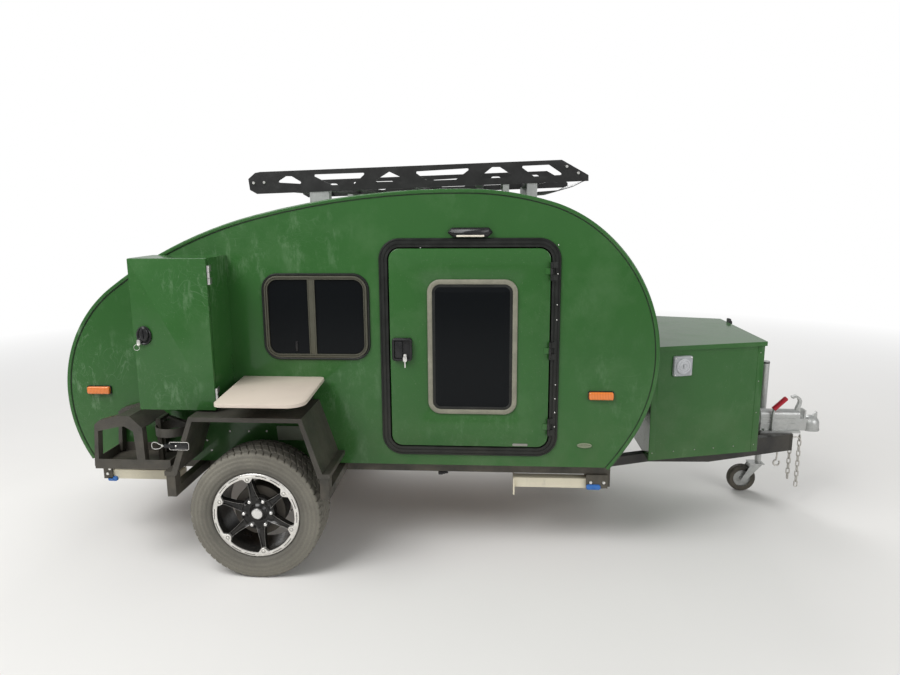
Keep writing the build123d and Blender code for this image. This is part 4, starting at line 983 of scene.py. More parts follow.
class TRAILER_OT_mouldings(bpy.types.Operator):
    """Edge mouldings that follow the teardrop on both sides, with the dark seam inside them"""

    bl_idname = "trailer.mouldings"
    bl_label = "Edge mouldings"

    def execute(self, context):
        # offset from the outline, height over the wall: a flat bead that turns over the roof's edge
        bead = (
            (-13.5, 0.2), (-13.5, 2.6), (-12, 4.4), (-8, 5.6), (-1, 5.9), (3.2, 5.0), (5.4, 2.6),
            (5.9, -1.0), (5.9, -14.0), (4.5, -15.6), (1.2, -15.6), (0.2, -14.0), (0.2, 0.2),
        )
        seam = ((-17.5, 0.2), (-17, 1.6), (-15.5, 2.2), (-14.2, 1.6), (-13.7, 0.2))
        for name, profile, slot, made, hidden in (
            ("edge_bead", bead, "green_paint", green_paint(), ["edge_mouldings"]),
            ("edge_seam", seam, "rubber", rubber_seal(), []),
        ):
            line = band(teardrop(), raised(profile, WALL), closed=False)
            keep_both(name, [line], made, hidden, sharp=50.0)
        return {"FINISHED"}


class TRAILER_OT_door_frames(bpy.types.Operator):
    """Ribbed rubber door frames with their screws and fixed hinge knuckles"""

    bl_idname = "trailer.door_frames"
    bl_label = "Door frames"

    def execute(self, context):
        # offset from the opening, height over the wall: liner, inner bead, groove, band, groove, outer bead
        ribs = (
            (0, -34.5), (0, 9.0), (1.2, 11.0), (6, 11.8), (11, 11.4), (12.5, 8.6), (16, 8.4), (17.5, 11.4),
            (24, 12.0), (30, 11.4), (31.5, 8.2), (35, 8.0), (36.5, 10.4), (41, 10.4), (44, 7.5), (45, 2.0),
            (45, 0.2), (6.2, 0.2), (6.2, -34.5),
        )
        parts = [band(rounded(*DOOR, DOOR_R, steps=12), raised(ribs, WALL))]
        pin_x, pin_d = DOOR_PIN
        for z in DOOR_HINGES:
            ends = ((z - 45, z - 16), (z + 16, z + 45))
            parts += knuckles(pin_x, pin_d, ends)
            parts += [leaf(pin_x + 4.2, pin_d - 1.6, pin_x + 30, pin_d - 10, *end) for end in ends]
        keep_both("door_seal_frames", parts, rubber_seal(), ["door_frames"])
        heights = (1645, 1504, 1351, 1275, 942, 869, 795, 721)
        spots = side_places([(1485.0, z) for z in heights], WALL + 11.6)
        keep_both("door_frame_screws", [screws(spots, sizes().screw / MM)], bright_metal())
        return {"FINISHED"}


class TRAILER_OT_doors(bpy.types.Operator):
    """Side doors with rounded edges, window bands, domed panes and locks with a key"""

    bl_idname = "trailer.doors"
    bl_label = "Side doors"

    def execute(self, context):
        gap, wide, face = 6.0, 25.0, DOOR_FACE
        x0, x1, z0, z1 = DOOR
        outer = rounded(x0 + gap, x1 - gap, z0 + gap, z1 - gap, DOOR_R - gap, steps=12)
        wx0, wx1, wz0, wz1 = DOOR_WINDOW
        hole = rounded(wx0 + wide, wx1 - wide, wz0 + wide, wz1 - wide, 41.0, steps=12)
        outside = rings(outer, [(0, face - 30), (0, face - 4.0), (-1.0, face - 1.4), (-3.6, face)])
        inside = rings(hole, [(3.0, face), (0, face - 2.0), (0, face - 30)])
        skin = grid(at(np.concatenate([outside, inside])), closed=True)
        pin_x, pin_d = DOOR_PIN
        ends = [(z - 15, z + 15) for z in DOOR_HINGES]
        leaves = [leaf(pin_x - 4.2, pin_d - 2.4, pin_x - 30, pin_d - 9.4, *end, 3.0) for end in ends]
        paint = lined_paint("door_paint", face - 29.0)
        keep_pair("door_leaf", [skin, *leaves], "side_door", paint, ["door"])
        pins = knuckles(pin_x, pin_d, ends)
        keep_pair("door_knuckles", pins, "side_door", textured_steel())
        tag = plate(rounded(1272, 1350, 613, 627, 5.0, 4), edged(face + 0.2, face + 2.0, 0.8))
        tag_metal = bright_metal("tag_metal", (0.34, 0.34, 0.31), rough=0.35)
        keep_pair("door_tag", [tag], "side_door", tag_metal)

        # offset from the window's edge or from the hole, height over the door
        crown = (
            (-25, 0.2), (-25, 6.5), (-23.6, 8.4), (-20.5, 9.6), (-13, 10.0), (-6, 9.4), (-1.6, 7.2),
            (0, 3.6), (0, 0.2),
        )
        lip = ((-0.4, 0.5), (-0.4, 6.0), (-4.0, 7.6), (-12, 6.6), (-14, 5.4), (-14, 0.5))
        dome = ((-1, 0.2), (-1, 3.0), (-12, 4.4), (-18, 6.2), (-26, 7.4), (-40, 8.2), (-41, 8.22))
        trim = band(rounded(*DOOR_WINDOW, 66.0, steps=12), raised(crown, face))
        seal, pane = band(hole, raised(lip, face)), plate(hole, raised(dome, face))
        keep_pair("window_band", [trim], "side_door", window_grey(), ["door_window_frame"])
        keep_pair("window_seal", [seal], "side_door", rubber_seal())
        glass = tinted_glass()
        keep_pair("window_pane", [pane], "side_door", glass, ["door_glass"], sharp=70.0)
        self.locks(face)
        return {"FINISHED"}

    def locks(self, face):
        """A square paddle lock: a bezel with a deep recess, its paddle, cylinder and hanging key."""
        x0, x1, z0, z1 = 658.0, 760.0, 1063.0, 1180.0
        rim = ((0, 0.2), (0, 20), (-1.5, 23), (-5, 25), (-10, 25), (-12, 23), (-13, 10), (-13.2, 10))
        bezel = plate(rounded(x0, x1, z0, z1, 15.0), raised(rim, face))
        lever = ((0, 9), (0, 19.5), (-1, 21), (-3, 21.6))
        paddle = plate(rounded(x0 + 15, x0 + 53, z0 + 15, z1 - 15, 5.0), raised(lever, face))
        black = black_plastic()
        keep_pair("paddle_lock", [bezel, paddle], "side_door", black, ["door_lock"])
        key_x = x0 + 66.0
        barrel = lathe(raised([(0, 9), (9, 9), (9, 21), (7.5, 22.5), (0, 22.5)], face), (key_x, 0, z0 + 27))
        bow = rounded(key_x - 10, key_x + 10, z0 - 4, z0 + 26, 8.0)
        bow = plate(bow, edged(face + 25.2, face + 27.4, 0.8))
        bit = rounded(key_x - 3, key_x + 3, z0 - 34, z0 - 3, 1.5, 3)
        bit = plate(bit, edged(face + 25.4, face + 27.0, 0.5))
        keep_pair("lock_key", [barrel, bow, bit], "side_door", bright_metal())


class TRAILER_OT_sliding_windows(bpy.types.Operator):
    """Sliding windows: rubber surround, ribbed metal frame, mullion and finger catch"""

    bl_idname = "trailer.sliding_windows"
    bl_label = "Sliding windows"

    def execute(self, context):
        edge = rounded(*SLIDE_WINDOW, 84.0, steps=12)
        z0, z1 = SLIDE_WINDOW[2:]
        bar_x = 247.0
        # offset from the window's edge, height over the wall
        rubber = ((-11, 0.2), (-11, 7.5), (-8, 9.6), (-3, 9.2), (-0.6, 6.5), (0, 3), (0, 0.2))
        metal = (
            (-32, 0.2), (-32, 7), (-30.5, 9.4), (-27, 10), (-25.2, 7.2), (-22.4, 7.0), (-20.8, 11),
            (-17, 12), (-13.5, 11), (-12, 8), (-11.2, 5.0), (-11.2, 0.2),
        )
        keep_both("slide_window_rubber", [band(edge, raised(rubber, WALL))], rubber_seal())
        half = np.array(((19, 0.2), (19, 7), (17, 9), (13.5, 9), (11.5, 6)))
        ribs = np.concatenate([half * (-1, 1), half[::-1]])
        bar = sweep([(bar_x, -WALL, z0 + 24), (bar_x, -WALL, z1 - 24)], ribs, (0, -1, 0))
        grey = bright_metal("window_rail", (0.13, 0.128, 0.10), rough=0.36)
        rail = band(edge, raised(metal, WALL))
        keep_both("slide_window_rails", [rail, bar], grey, ["side_window_frames"])
        catch = plate(rounded(154, 166, z0 + 45, z0 + 96, 3.0, 4), edged(WALL - 0.5, WALL + 5.0, 2.0))
        keep_both("slide_window_catch", [catch], black_plastic())
        return {"FINISHED"}


class TRAILER_OT_lockers(bpy.types.Operator):
    """Locker doors with rounded edges, seals, hinges, round locks and key rings"""

    bl_idname = "trailer.lockers"
    bl_label = "Side lockers"

    def execute(self, context):
        x0, x1, z0, z1 = LOCKER
        face, thick = LOCKER_FACE, 18.0
        door = plate(rounded(x0, x1, z0, z1, 5.0, 4), edged(face - thick, face, 3.0))
        keep_pair("locker_leaf", [door], "locker_front", green_paint(), ["locker_door"])
        strip = [(0, 980.2), (0, 985.6), (-9, 985.6), (-9, 980.2)]
        seal = band(rounded(x0 + 3, x1 - 3, z0 + 3, z1 - 3, 4.0, 3), strip)
        keep_both("locker_seals", [seal], rubber_seal())
        pin_x, pin_d = x1 + 8.0, face - 7.0
        moving, fixed = [], []
        for z in (922.0, 1519.0):
            moving += knuckles(pin_x, pin_d, ((z - 15, z + 15),))
            moving.append(leaf(pin_x - 4, pin_d, x1 - 0.4, pin_d, z - 15, z + 15, 3.0))
            ends = ((z - 45.3, z - 15.8), (z + 15.8, z + 45.3))
            fixed += knuckles(pin_x, pin_d, ends, 7.5)
            fixed += [leaf(pin_x - 0.6, pin_d - 4, pin_x - 9.2, pin_d - 51, *end, 5.2) for end in ends]
        steel = bright_metal("hinge_metal", (0.60, 0.60, 0.58), rough=0.3)
        keep_pair("locker_hinge", moving, "locker_front", steel)
        keep_both("locker_hinge_leaves", fixed, steel)
        self.locks(face)
        return {"FINISHED"}

    def locks(self, face):
        """A round dished lock with a domed turning handle, its cylinder and a key on a ring."""
        x, z = -510.0, 1229.0
        # offset from the ellipse, height over the door
        rim = ((0, 0.2), (0, 6), (-1.5, 9), (-5, 11), (-9, 9.5), (-11, 6.5), (-14, 6))
        dome = ((0, 5), (-0.4, 13), (-3, 17), (-8, 19.4), (-14, 20), (-18, 20))
        parts = [
            plate(ellipse(x, z, 37, 46, 40), raised(rim, face)),
            plate(ellipse(x + 5, z + 8, 22, 36, 32), raised(dome, face)),
            plate(ellipse(x - 18, z - 22, 11, 12), raised([(0, 5), (0, 14), (-2, 16)], face)),
        ]
        keep_pair("round_lock", parts, "locker_front", black_plastic(), ["locker_lock"])
        key = plate(rounded(x - 32, x - 15, z - 46, z - 18, 7.0), edged(face + 16.4, face + 18.4, 0.8))
        loop = side_places(circle(14.0, 24) + (x - 34, z - 56), face + 18.4)
        ring = tube(loop, 1.1, (0, 1, 0), 8, closed=True)
        keep_pair("lock_ring", [key, ring], "locker_front", bright_metal())


class TRAILER_OT_tyres(bpy.types.Operator):
    """All-terrain tyres: a grid round the axle whose radius is cut by the tread's grooves"""

    bl_idname = "trailer.tyres"
    bl_label = "Tyres"

    def execute(self, context):
        """The section (r, h) is carried round the axle. On the tread, r falls by the groove depth where the
        groove mask g(p, s) is 1, with p the phase in blocks and s = h / half width."""
        # radius, half width, share of the tread's depth, from the bead over the shoulder
        wall = np.array((
            (221.0, 86.0, 0), (225.0, 97.0, 0), (231.0, 101.0, 0), (238.0, 105.5, 0), (241.0, 104.4, 0),
            (245.0, 107.6, 0), (256.0, 110.2, 0), (266.0, 111.0, 0), (278.0, 110.9, 0), (281.0, 109.9, 0),
            (284.0, 110.4, 0), (293.0, 109.8, 0), (297.0, 109.2, 0), (299.0, 107.8, 0), (302.0, 108.0, 0),
            (309.0, 107.4, 0), (314.0, 106.6, 0), (319.5, 104.8, 0.25), (324.0, 102.6, 0.5),
            (328.0, 99.0, 0.8),
        ))
        across = np.linspace(94.0, -94.0, 47)
        crown = TYRE_R - 3.2 * np.abs(across / 95.0) ** 3.0
        tread = np.stack([crown, across, np.ones_like(across)], -1)
        inner = np.array(((214.0, -60.0, 0), (214.0, 60.0, 0)))
        section = np.concatenate([wall, tread, wall[::-1] * (1, -1, 1), inner])
        blocks, steps = sizes().tread_blocks, 12
        phase = np.arange(blocks * steps) / steps
        groove = self.mask(phase[:, None], section[None, :, 1] / TYRE_HALF)
        radius = section[None, :, 0] - sizes().tread_depth / MM * groove * section[None, :, 2]
        spin = circle(1.0, blocks * steps)
        depth = np.broadcast_to(WHEEL_D + section[:, 1], radius.shape)
        points = np.stack([radius * spin[:, :1], radius * spin[:, 1:] + WHEEL_Z, depth], -1)
        tyre = grid(at(points), closed=True)
        keep_pair("tyre_tread", [tyre], "wheel", tyre_rubber(), ["tyre"], sharp=60.0)
        return {"FINISHED"}

    def mask(self, phase, s):
        """1 in a groove and 0 on a block: two zigzag grooves round the tyre and a middle one, slanted gaps
        between the shoulder blocks and narrow cuts in the middle ribs."""
        shoulder = 0.52
        zigzag = 0.035 * (4 * np.abs(phase * 0.5 % 1.0 - 0.5) - 1)
        ring = np.abs(np.abs(s) - shoulder - zigzag) < 0.04
        centre = np.abs(s - 0.5 * zigzag) < 0.035
        slant = (phase + 0.25 * np.sign(s) + 0.5 * np.abs(s)) % 1.0
        gap = (np.abs(s) > shoulder) & (slant < 0.16)
        sipe = (phase + 0.5 + 1.4 * s) % 1.0
        cut = (np.abs(s) <= shoulder) & (sipe < 0.15)
        return (ring | centre | gap | cut).astype(float)


class TRAILER_OT_wheels(bpy.types.Operator):
    """Alloy wheels: black barrel and hub, black spokes with grey ribs on their edges that paint a highlight,
    machined lip and pads, plain cap and nuts
    """

    bl_idname = "trailer.wheels"
    bl_label = "Wheels"

    def execute(self, context):
        middle = (0, 0, WHEEL_Z)
        angles = [39.0 + 360.0 / SPOKES * i for i in range(SPOKES)]
        # radius, depth
        barrel = (
            (219, 1046), (216, 1047), (198, 1047), (195, 1043), (193, 1036), (191.5, 1000), (190.5, 900),
            (192, 872), (206, 866), (219, 865), (220.3, 869), (218, 875), (205, 878), (203, 884),
            (203, 1022), (205, 1034), (216, 1038), (219.8, 1041),
        )
        hub = (
            (0, 984), (86, 984), (89, 988), (89, 1012), (86, 1019), (80, 1020), (77, 1013), (58, 1008),
            (46, 1008), (42, 1013), (36, 1016), (33, 1022), (30, 1023), (29, 1016), (0, 1016),
        )
        lip = (
            (196.5, 1046.5), (196.5, 1050.6), (198, 1051.6), (212, 1051.6), (217.5, 1050.4),
            (220.2, 1047.2), (220.2, 1044.0), (217, 1046.5),
        )
        spoke, glint_strips = self.spoke()
        black = [lathe(barrel, middle, steps=96, closed=True), lathe(hub, middle, steps=72)]
        black += self.ring([spoke], angles)
        keep_pair("wheel_alloy", black, "wheel", wheel_black(), ["rim"])

        pad_r, pad_at = (9, 12, 3, 3, 12, 9), (190.5, 0, WHEEL_Z)
        pad = rounded_polygon([(174, -7), (200, -33), (209, -35), (209, 35), (200, 33), (174, 7)], pad_r, 5)
        pad = grid(self.radial(rings(pad, [(0, 1038), (0, 1050.4), (-0.8, 1051.6), (-2.4, 1052.2)])))
        bolt = lathe([(0, 1052), (6.2, 1052), (6.2, 1054), (5.2, 1054.8), (0, 1054.8)], pad_at, steps=12)
        machined = [lathe(lip, middle, steps=120, closed=True), *self.ring([pad, bolt], angles)]
        silver = bright_metal("machined_alloy", (0.80, 0.78, 0.74), rough=0.26)
        keep_pair("wheel_lip", machined, "wheel", silver)
        # grey metal strips on the spokes' rounded edges: a painted highlight of light glinting along them
        dull = bright_metal("painted_spoke_glint", (0.42, 0.41, 0.39), rough=0.3)
        keep_pair("spoke_edges", self.ring(glint_strips, angles), "wheel", dull)

        rim = [(7.6, 1051.8), (7.6, 1052.7), (9.4, 1052.7), (9.4, 1051.8)]
        ring = lathe(rim, pad_at, steps=24, closed=True)
        arc = np.radians(np.linspace(-7.5, 7.5, 12))
        path = self.radial(np.stack([208.5 * np.cos(arc), 208.5 * np.sin(arc), np.full(12, 1051.4)], -1))
        dash = sweep(path, [(-1.7, 0), (-1.7, 0.7), (1.7, 0.7), (1.7, 0)], (0, -1, 0))
        dark = self.ring([ring, turned(dash, 20.0), turned(dash, 40.0)], angles)
        keep_pair("lip_slots", dark, "wheel", textured_steel())

        cap = (
            (0, 1015), (28.5, 1015), (28.5, 1027), (27, 1031.5), (23.5, 1033.5), (22, 1032.6), (16, 1034.2),
            (0, 1035),
        )
        nut = [(0, 1006), (10.5, 1006), (10.5, 1024), (8.6, 1028.5), (5.5, 1030.4), (0, 1031)]
        nut = lathe(nut, (69.85, 0, WHEEL_Z), steps=6)
        valve = tube([(184, -1030, WHEEL_Z), (176, -1044, WHEEL_Z)], 3.2, (0, 0, 1))
        nuts = [turned(nut, 3.0 + 60.0 * i) for i in range(6)]
        shiny = [lathe(cap, middle, steps=48), turned(valve, 9.0), *nuts]
        chrome = bright_metal("chrome", (0.82, 0.81, 0.79), rough=0.14)
        keep_pair("wheel_nuts", shiny, "wheel", chrome)
        return {"FINISHED"}

    def ring(self, parts, angles):
        """Parts repeated round the axle at each angle."""
        return [turned(part, angle) for angle in angles for part in parts]

    def radial(self, local):
        """Turn local (along the spoke, across it, depth) into places: (a, -depth, axle height + b)."""
        return at(local, (0, 0, WHEEL_Z))

    def spoke(self):
        """A spoke along +x: a dished section of half width w between the back and front depths, and the two
        ridges on its edges, whose grey metal paints the highlight along them."""
        # radius, half width, back depth, front depth
        stations = np.array((
            (56, 27, 985, 1016), (76, 22.5, 987, 1022), (98, 18.5, 992, 1027), (130, 14.5, 998, 1032),
            (165, 12.5, 1004, 1036), (184, 13.5, 1008, 1042), (199, 17.0, 1012, 1046),
        ))
        r, w, back, front = (stations[:, i, None] for i in range(4))
        # share of w, share of the depth, sink, inset from the edge
        half = np.array((
            (-1, 0, 0, 0), (-1, 1, -4, 0), (-1, 1, -1.2, 0.8), (-1, 1, -0.2, 2.6), (-0.5, 1, -7, 0),
        ))
        share, high, sink, inset = np.concatenate([half, half[::-1] * (-1, 1, 1, -1)]).T
        across = w * share + inset
        depth = back + (front - back) * high + sink
        body = grid(self.radial(np.stack([np.broadcast_to(r, across.shape), across, depth], -1)))
        edge = np.array(((0.3, -1.4), (0.6, -0.1), (1.1, 0.4), (1.8, 0.0), (2.1, -1.6)))
        run = slice(1, 6)
        over, top = w[run] - edge[:, 0], front[run] + edge[:, 1]
        out = np.broadcast_to(r[run], over.shape)
        return body, [grid(self.radial(np.stack([out, side * over, top], -1))) for side in (-1, 1)]


class TRAILER_OT_fender_fittings(bpy.types.Operator):
    """Toggle latches and bolts of the fenders, and pale plates inside the arches that paint a patch of
    sunlight on the wall
    """

    bl_idname = "trailer.fender_fittings"
    bl_label = "Fender fittings"

    def execute(self, context):
        out = FENDER_FACE
        rim = [(0, 0.2), (0, 9), (-1.5, 11), (-4, 11.5), (-6, 9), (-6.2, 9)]
        body = plate(rounded(-381, -291, 690, 722, 7.0, 5), raised(rim, out))
        tongue = plate(rounded(-412, -360, 697, 715, 6.0, 5), edged(out + 2.0, out + 14.0, 2.5))
        keep_both("latch_body", [body, tongue], black_plastic())
        line = [
            (-404, 708), (-424, 700), (-436, 690), (-462, 688), (-472, 696), (-472, 716), (-464, 724),
            (-446, 722), (-432, 712), (-404, 702),
        ]
        wire = tube(eased(side_places(line, out + 8.0)), 2.0, (0, 1, 0), 8)
        frame_line = side_places(rounded(-384, -288, 687, 725, 8.0, 5)[0], out + 10.0)
        frame_wire = tube(frame_line, 1.5, (0, 1, 0), 6, closed=True)
        rivets = screws(side_places([(-352, 706), (-420, 706)], out + 9.0), 5.0)
        keep_both("latch_wire", [wire, frame_wire, rivets], bright_metal())
        spots = side_places([(-225, 667), (-121, 668), (-24, 670), (-354, 614), (-331, 559)], WALL)
        keep_both("arch_screws", [screws(spots, 6.0)], bright_metal())
        # a pale grey-green plate inside each arch: a painted patch of sunlight on the green wall
        shape = rounded_polygon([(36, 623), (179, 623), (165, 700), (30, 700)], 6.0, 3)
        sunlit_patch = plate(shape, edged(WALL + 0.2, WALL + 6.0, 1.5))
        grey = pale_paint("painted_sunlight_grey", (0.20, 0.23, 0.17), dust=0.5)
        keep_both("arch_sunlit_patches", [sunlit_patch], grey)
        return {"FINISHED"}


class TRAILER_OT_tables(bpy.types.Operator):
    """Side tables: boards with rounded corners and a soft edge on two steel brackets"""

    bl_idname = "trailer.tables"
    bl_label = "Side tables"

    def execute(self, context):
        top, thick, wall, reach = 970.0, 18.0, WALL + 0.5, 330.0
        low = top - thick
        corners = [(-130, wall), (300, wall), (331, 1270), (-84, 1270)]
        outline = rounded_polygon(corners, (6, 30, 80, 38), 10)
        shape = ((-1.6, low), (-0.3, low + 1), (0, low + 3), (0, top - 3), (-0.5, top - 1), (-2, top))
        keep_both("table_boards", [plate(outline, shape, axes=DECK)], board_top(), ["side_tables"])
        edge = ((-3, low + 2.4), (-0.2, low + 2.4), (0.0, top - 9), (-0.2, top - 2.6), (-3, top - 2.6))
        strip = band(outline, edge, axes=DECK)
        pale = pale_paint("edge_pale", (0.80, 0.76, 0.68), dust=0.05, rough=0.3)
        keep_both("table_edging", [strip], pale)
        under, out = low - 0.3, wall + reach
        web = [(wall, under - 100), (wall + 6, under - 100), (out, under - 10), (out, under), (wall, under)]
        outwards = np.array([[0, -1.0, 0], [0, 0, 1], [1, 0, 0]])
        brackets = []
        for x in (-60.0, 230.0):
            brackets.append(plate(rounded_polygon(web, 2.0, 3), [(0, 0), (0, 4)], (x, 0, 0), outwards))
            brackets.append(leaf(x + 2, wall, x + 2, out, under - 4, under, 26.0))
        keep_both("table_brackets", brackets, textured_steel())
        return {"FINISHED"}


class TRAILER_OT_lamps(bpy.types.Operator):
    """Marker lamps and porch lamps with their housings"""

    bl_idname = "trailer.lamps"
    bl_label = "Lamps"

    def execute(self, context):
        lens = raised(((0, 7.5), (0, 16), (-1.5, 19.5), (-5, 21.5), (-9, 22)), WALL)
        foot = edged(WALL + 0.2, WALL + 8.0, 2.0)
        bases, lenses = [], []
        for x in (-918.0, 1717.0):
            bases.append(plate(rounded(x - 65, x + 65, 863, 909, 7.0, 5), foot))
            lenses.append(plate(rounded(x - 62, x + 62, 866, 906, 10.0, 5), lens))
        keep_both("marker_bases", bases, black_plastic())
        amber = lamp_lens("amber_lens", AMBER)
        keep_both("marker_lenses", lenses, amber, ["marker_lamps"], sharp=60.0)
        x, z = 1054.0, 1707.0
        half = [(84, -24), (113, 0), (92, 24)]
        corners = [(x - 84, z - 24)] + [(x + a, z + b) for a, b in half] + [(x - 92, z + 24), (x - 113, z)]
        shape = rounded_polygon(corners, 7.0, 4)
        hood = plate(shape, raised([(0, 0.2), (0, 18), (-3, 25), (-9, 29.5)], WALL))
        keep_both("porch_hoods", [hood], black_plastic(), ["porch_lamps"])
        strip = [(0, 20), (0, 28), (-1.5, 30)]
        strip = plate(rounded(x - 68, x + 70, z - 21, z - 11, 4.5, 4), raised(strip, WALL))
        milk = plain_plastic("milk_lens", (0.72, 0.66, 0.56), rough=0.25)
        keep_both("porch_lenses", [strip], milk)
        return {"FINISHED"}


class TRAILER_OT_rear_fittings(bpy.types.Operator):
    """Tail lamps, the hatch's handle and plate holder, and the small oval vents of the walls"""

    bl_idname = "trailer.rear_fittings"
    bl_label = "Rear fittings"

    def execute(self, context):
        back, z0, z1 = -span("tail_lamps")[0][0], 535.0, 615.0
        rim = raised([(0, -60), (0, -9), (-2, -6), (-6, -6)], back)
        shell = plate(rounded(465, 655, z0, z1, 9.0, 5), rim, axes=REAR)
        keep_both("tail_housings", [shell], black_plastic(), ["tail_lamps"])
        # name, lens from, lens to, slot, finish
        for name, a0, a1, slot, made in (
            ("tail_lens_clear", 469, 517, "pale_plastic", lamp_lens("clear_lens", (0.70, 0.70, 0.70))),
            ("tail_lens_red", 519, 597, "lamp_red", lamp_lens("red_lens", LAMP_RED)),
            ("tail_lens_amber", 599, 651, "lamp_orange", lamp_lens("amber_lens", AMBER)),
        ):
            shape = rounded(a0, a1, z0 + 4, z1 - 4, 5.0, 4)
            keep_both(name, [plate(shape, edged(back - 7.0, back - 0.3, 2.5), axes=REAR)], made)
        skin = self.skin(735.0)
        base = lathe([(0, 0.3), (31, 0.3), (31, 4), (28, 6), (17, 7), (15, 9), (0, 9)], *skin, 36)
        grip = plate(rounded(-52, 52, -11, 11, 10.0, 6), edged(8.0, 16.4, 4.0), *skin)
        keep("hatch_handle", [base, grip], "hatch", black_plastic())
        skin = self.skin(572.0)
        holder = plate(rounded(-240, 240, -54, 54, 8.0, 5), edged(0.6, 7.0, 2.0), *skin)
        keep("plate_holder", [holder], "trailer", black_plastic())
        blank = plate(rounded(-228, 228, -44, 44, 6.0, 5), edged(6.8, 8.4, 0.8), *skin)
        white = pale_paint("plate_white", (0.74, 0.74, 0.72), dust=0.2)
        keep("blank_plate", [blank], "trailer", white)
        rim = raised([(0, 0.2), (0, 5), (-1.5, 7), (-4, 7.4), (-6, 4)], WALL)
        grey = plain_plastic("vent_grey", (0.20, 0.225, 0.15))
        keep_both("wall_vents", [plate(ellipse(1642, 619, 38, 13), rim)], grey)
        return {"FINISHED"}

    def skin(self, height):
        """The place on the tail's skin at a height, with axes across, up along the skin and outwards."""
        tail_points = 30
        points, normals = teardrop()
        near = int(np.argmin(np.abs(points[:tail_points, 1] - height)))
        (x, z), (nx, nz) = points[near], normals[near]
        return (x, 0.0, z), np.array([[0, -1.0, 0], [nz, 0, -nx], [nx, 0, nz]])


class TRAILER_OT_mattress(bpy.types.Operator):
    """A foam mattress whose cover is swelled by a short cloth simulation, with piped edges"""

    bl_idname = "trailer.mattress"
    bl_label = "Mattress"

    def execute(self, context):
        low, high = span("mattress")
        crown = sizes().crown / MM
        inset, top = 6.0, high[2] - crown
        shape = rounded(low[0] + inset, high[0] - inset, low[1] + inset, high[1] - inset, 60.0, 8)
        edge = [(-14, 0.4), (-4, 4), (0, 14)]
        sides = raised(edge, low[2]) + [(0, top - 14), (-4, top - 4), (-14, top)]
        block = plate(shape, sides, axes=DECK)
        pad = keep("mattress_pad", [block], "trailer", cloth(), ["mattress"])
        self.swell(pad, low, high, crown * MM)
        ropes = [
            tube(at(rings(shape, [(1.6, z)])[0], axes=DECK), 4.0, (0, 0, 1), 8, closed=True)
            for z in (low[2] + 18, top - 16)
        ]
        piping = rubber_seal("piping", (0.05, 0.05, 0.05), dust=0.0)
        keep("mattress_piping", ropes, "trailer", piping)
        return {"FINISHED"}

    def swell(self, pad, low, high, reach):
        """Remesh the pad evenly, let cloth under pressure push it outwards by reach at most, keep it
        inside the solid's box and press quilted channels z -= d exp(-(s / w)^2) into its top, where s
        is the way to the nearest channel."""
        pitch, deep, wide = 0.235, 0.006, 0.016
        work = linked("mattress_work", pad.data.copy())
        voxels = work.modifiers.new("voxels", "REMESH")
        voxels.mode = "VOXEL"
        voxels.voxel_size = 0.018
        start = self.baked(work)
        work.modifiers.clear()
        work.data = start
        rest = self.places(start)
        middle = (low[2] + high[2]) * MM / 2
        swollen = self.pushed(work)
        move = swollen - rest
        far = np.linalg.norm(move, axis=1, keepdims=True)
        final = rest + move * np.minimum(1.0, reach / np.maximum(far, 1e-9))
        box_low, box_high = low * MM + PLACE + 0.0006, high * MM + PLACE - 0.0006
        final = np.clip(final, box_low, box_high)
        gap = np.abs((final[:, :2] - box_low[:2]) / pitch % 1.0 - 0.5) * pitch
        channel = np.exp(-((0.5 * pitch - gap) / wide) ** 2).max(axis=1)
        edge = np.minimum(final[:, :2] - box_low[:2], box_high[:2] - final[:, :2]).min(axis=1)
        final[:, 2] -= deep * channel * ((final[:, 2] > middle) & (edge > 0.05))
        start.vertices.foreach_set("co", final.ravel())
        start.polygons.foreach_set("use_smooth", np.ones(len(start.polygons), bool))
        start.materials.clear()
        start.materials.append(cloth())
        start.update()
        pad.data = start
        bpy.data.objects.remove(work)
        fine = pad.modifiers.new("fine", "SUBSURF")
        fine.levels = fine.render_levels = 1

    def pushed(self, work):
        """The places after 20 frames of cloth with an even pressure inside and no weight."""
        scene = bpy.context.scene
        push = work.modifiers.new("push", "CLOTH")
        push.settings.use_pressure = True
        push.settings.uniform_pressure_force = 4.0
        push.settings.effector_weights.gravity = 0.0
        for frame_number in range(1, 21):
            scene.frame_set(frame_number)
        swollen = self.places(self.baked(work))
        work.modifiers.clear()
        scene.frame_set(1)
        return swollen

    def baked(self, made):
        """The object's mesh with its modifiers applied."""
        seen = made.evaluated_get(bpy.context.evaluated_depsgraph_get())
        return bpy.data.meshes.new_from_object(seen)

    def places(self, mesh):
        """The mesh's vertices as rows."""
        flat = np.empty(len(mesh.vertices) * 3)
        mesh.vertices.foreach_get("co", flat)
        return flat.reshape(-1, 3)


class TRAILER_OT_galley(bpy.types.Operator):
    """Cupboard fronts of the galley with round finger holes"""

    bl_idname = "trailer.galley"
    bl_label = "Galley"

    def execute(self, context):
        birch = wood("birch_front", (0.60, 0.45, 0.29), (0.42, 0.29, 0.17))
        face = -span("galley_partition")[1][0] + 18.0
        rim = [(13, 0.1), (13, 1.6), (17, 2.6), (20, 1.6), (20, 0.1)]
        fronts, holes = [], []
        for a in (-440.0, 0.0, 440.0):
            for z0, z1 in ((570.0, 970.0), (1075.0, 1330.0)):
                shape = rounded(a - 205, a + 205, z0, z1, 8.0, 4)
                fronts.append(plate(shape, edged(face + 0.3, face + 15.0, 2.0), axes=REAR))
                holes.append(lathe(rim, (-face - 15.0, -a, z1 - 45), REAR, 28, closed=True))
        keep("galley_fronts", fronts, "trailer", birch)
        keep("finger_holes", holes, "trailer", black_plastic())
        return {"FINISHED"}


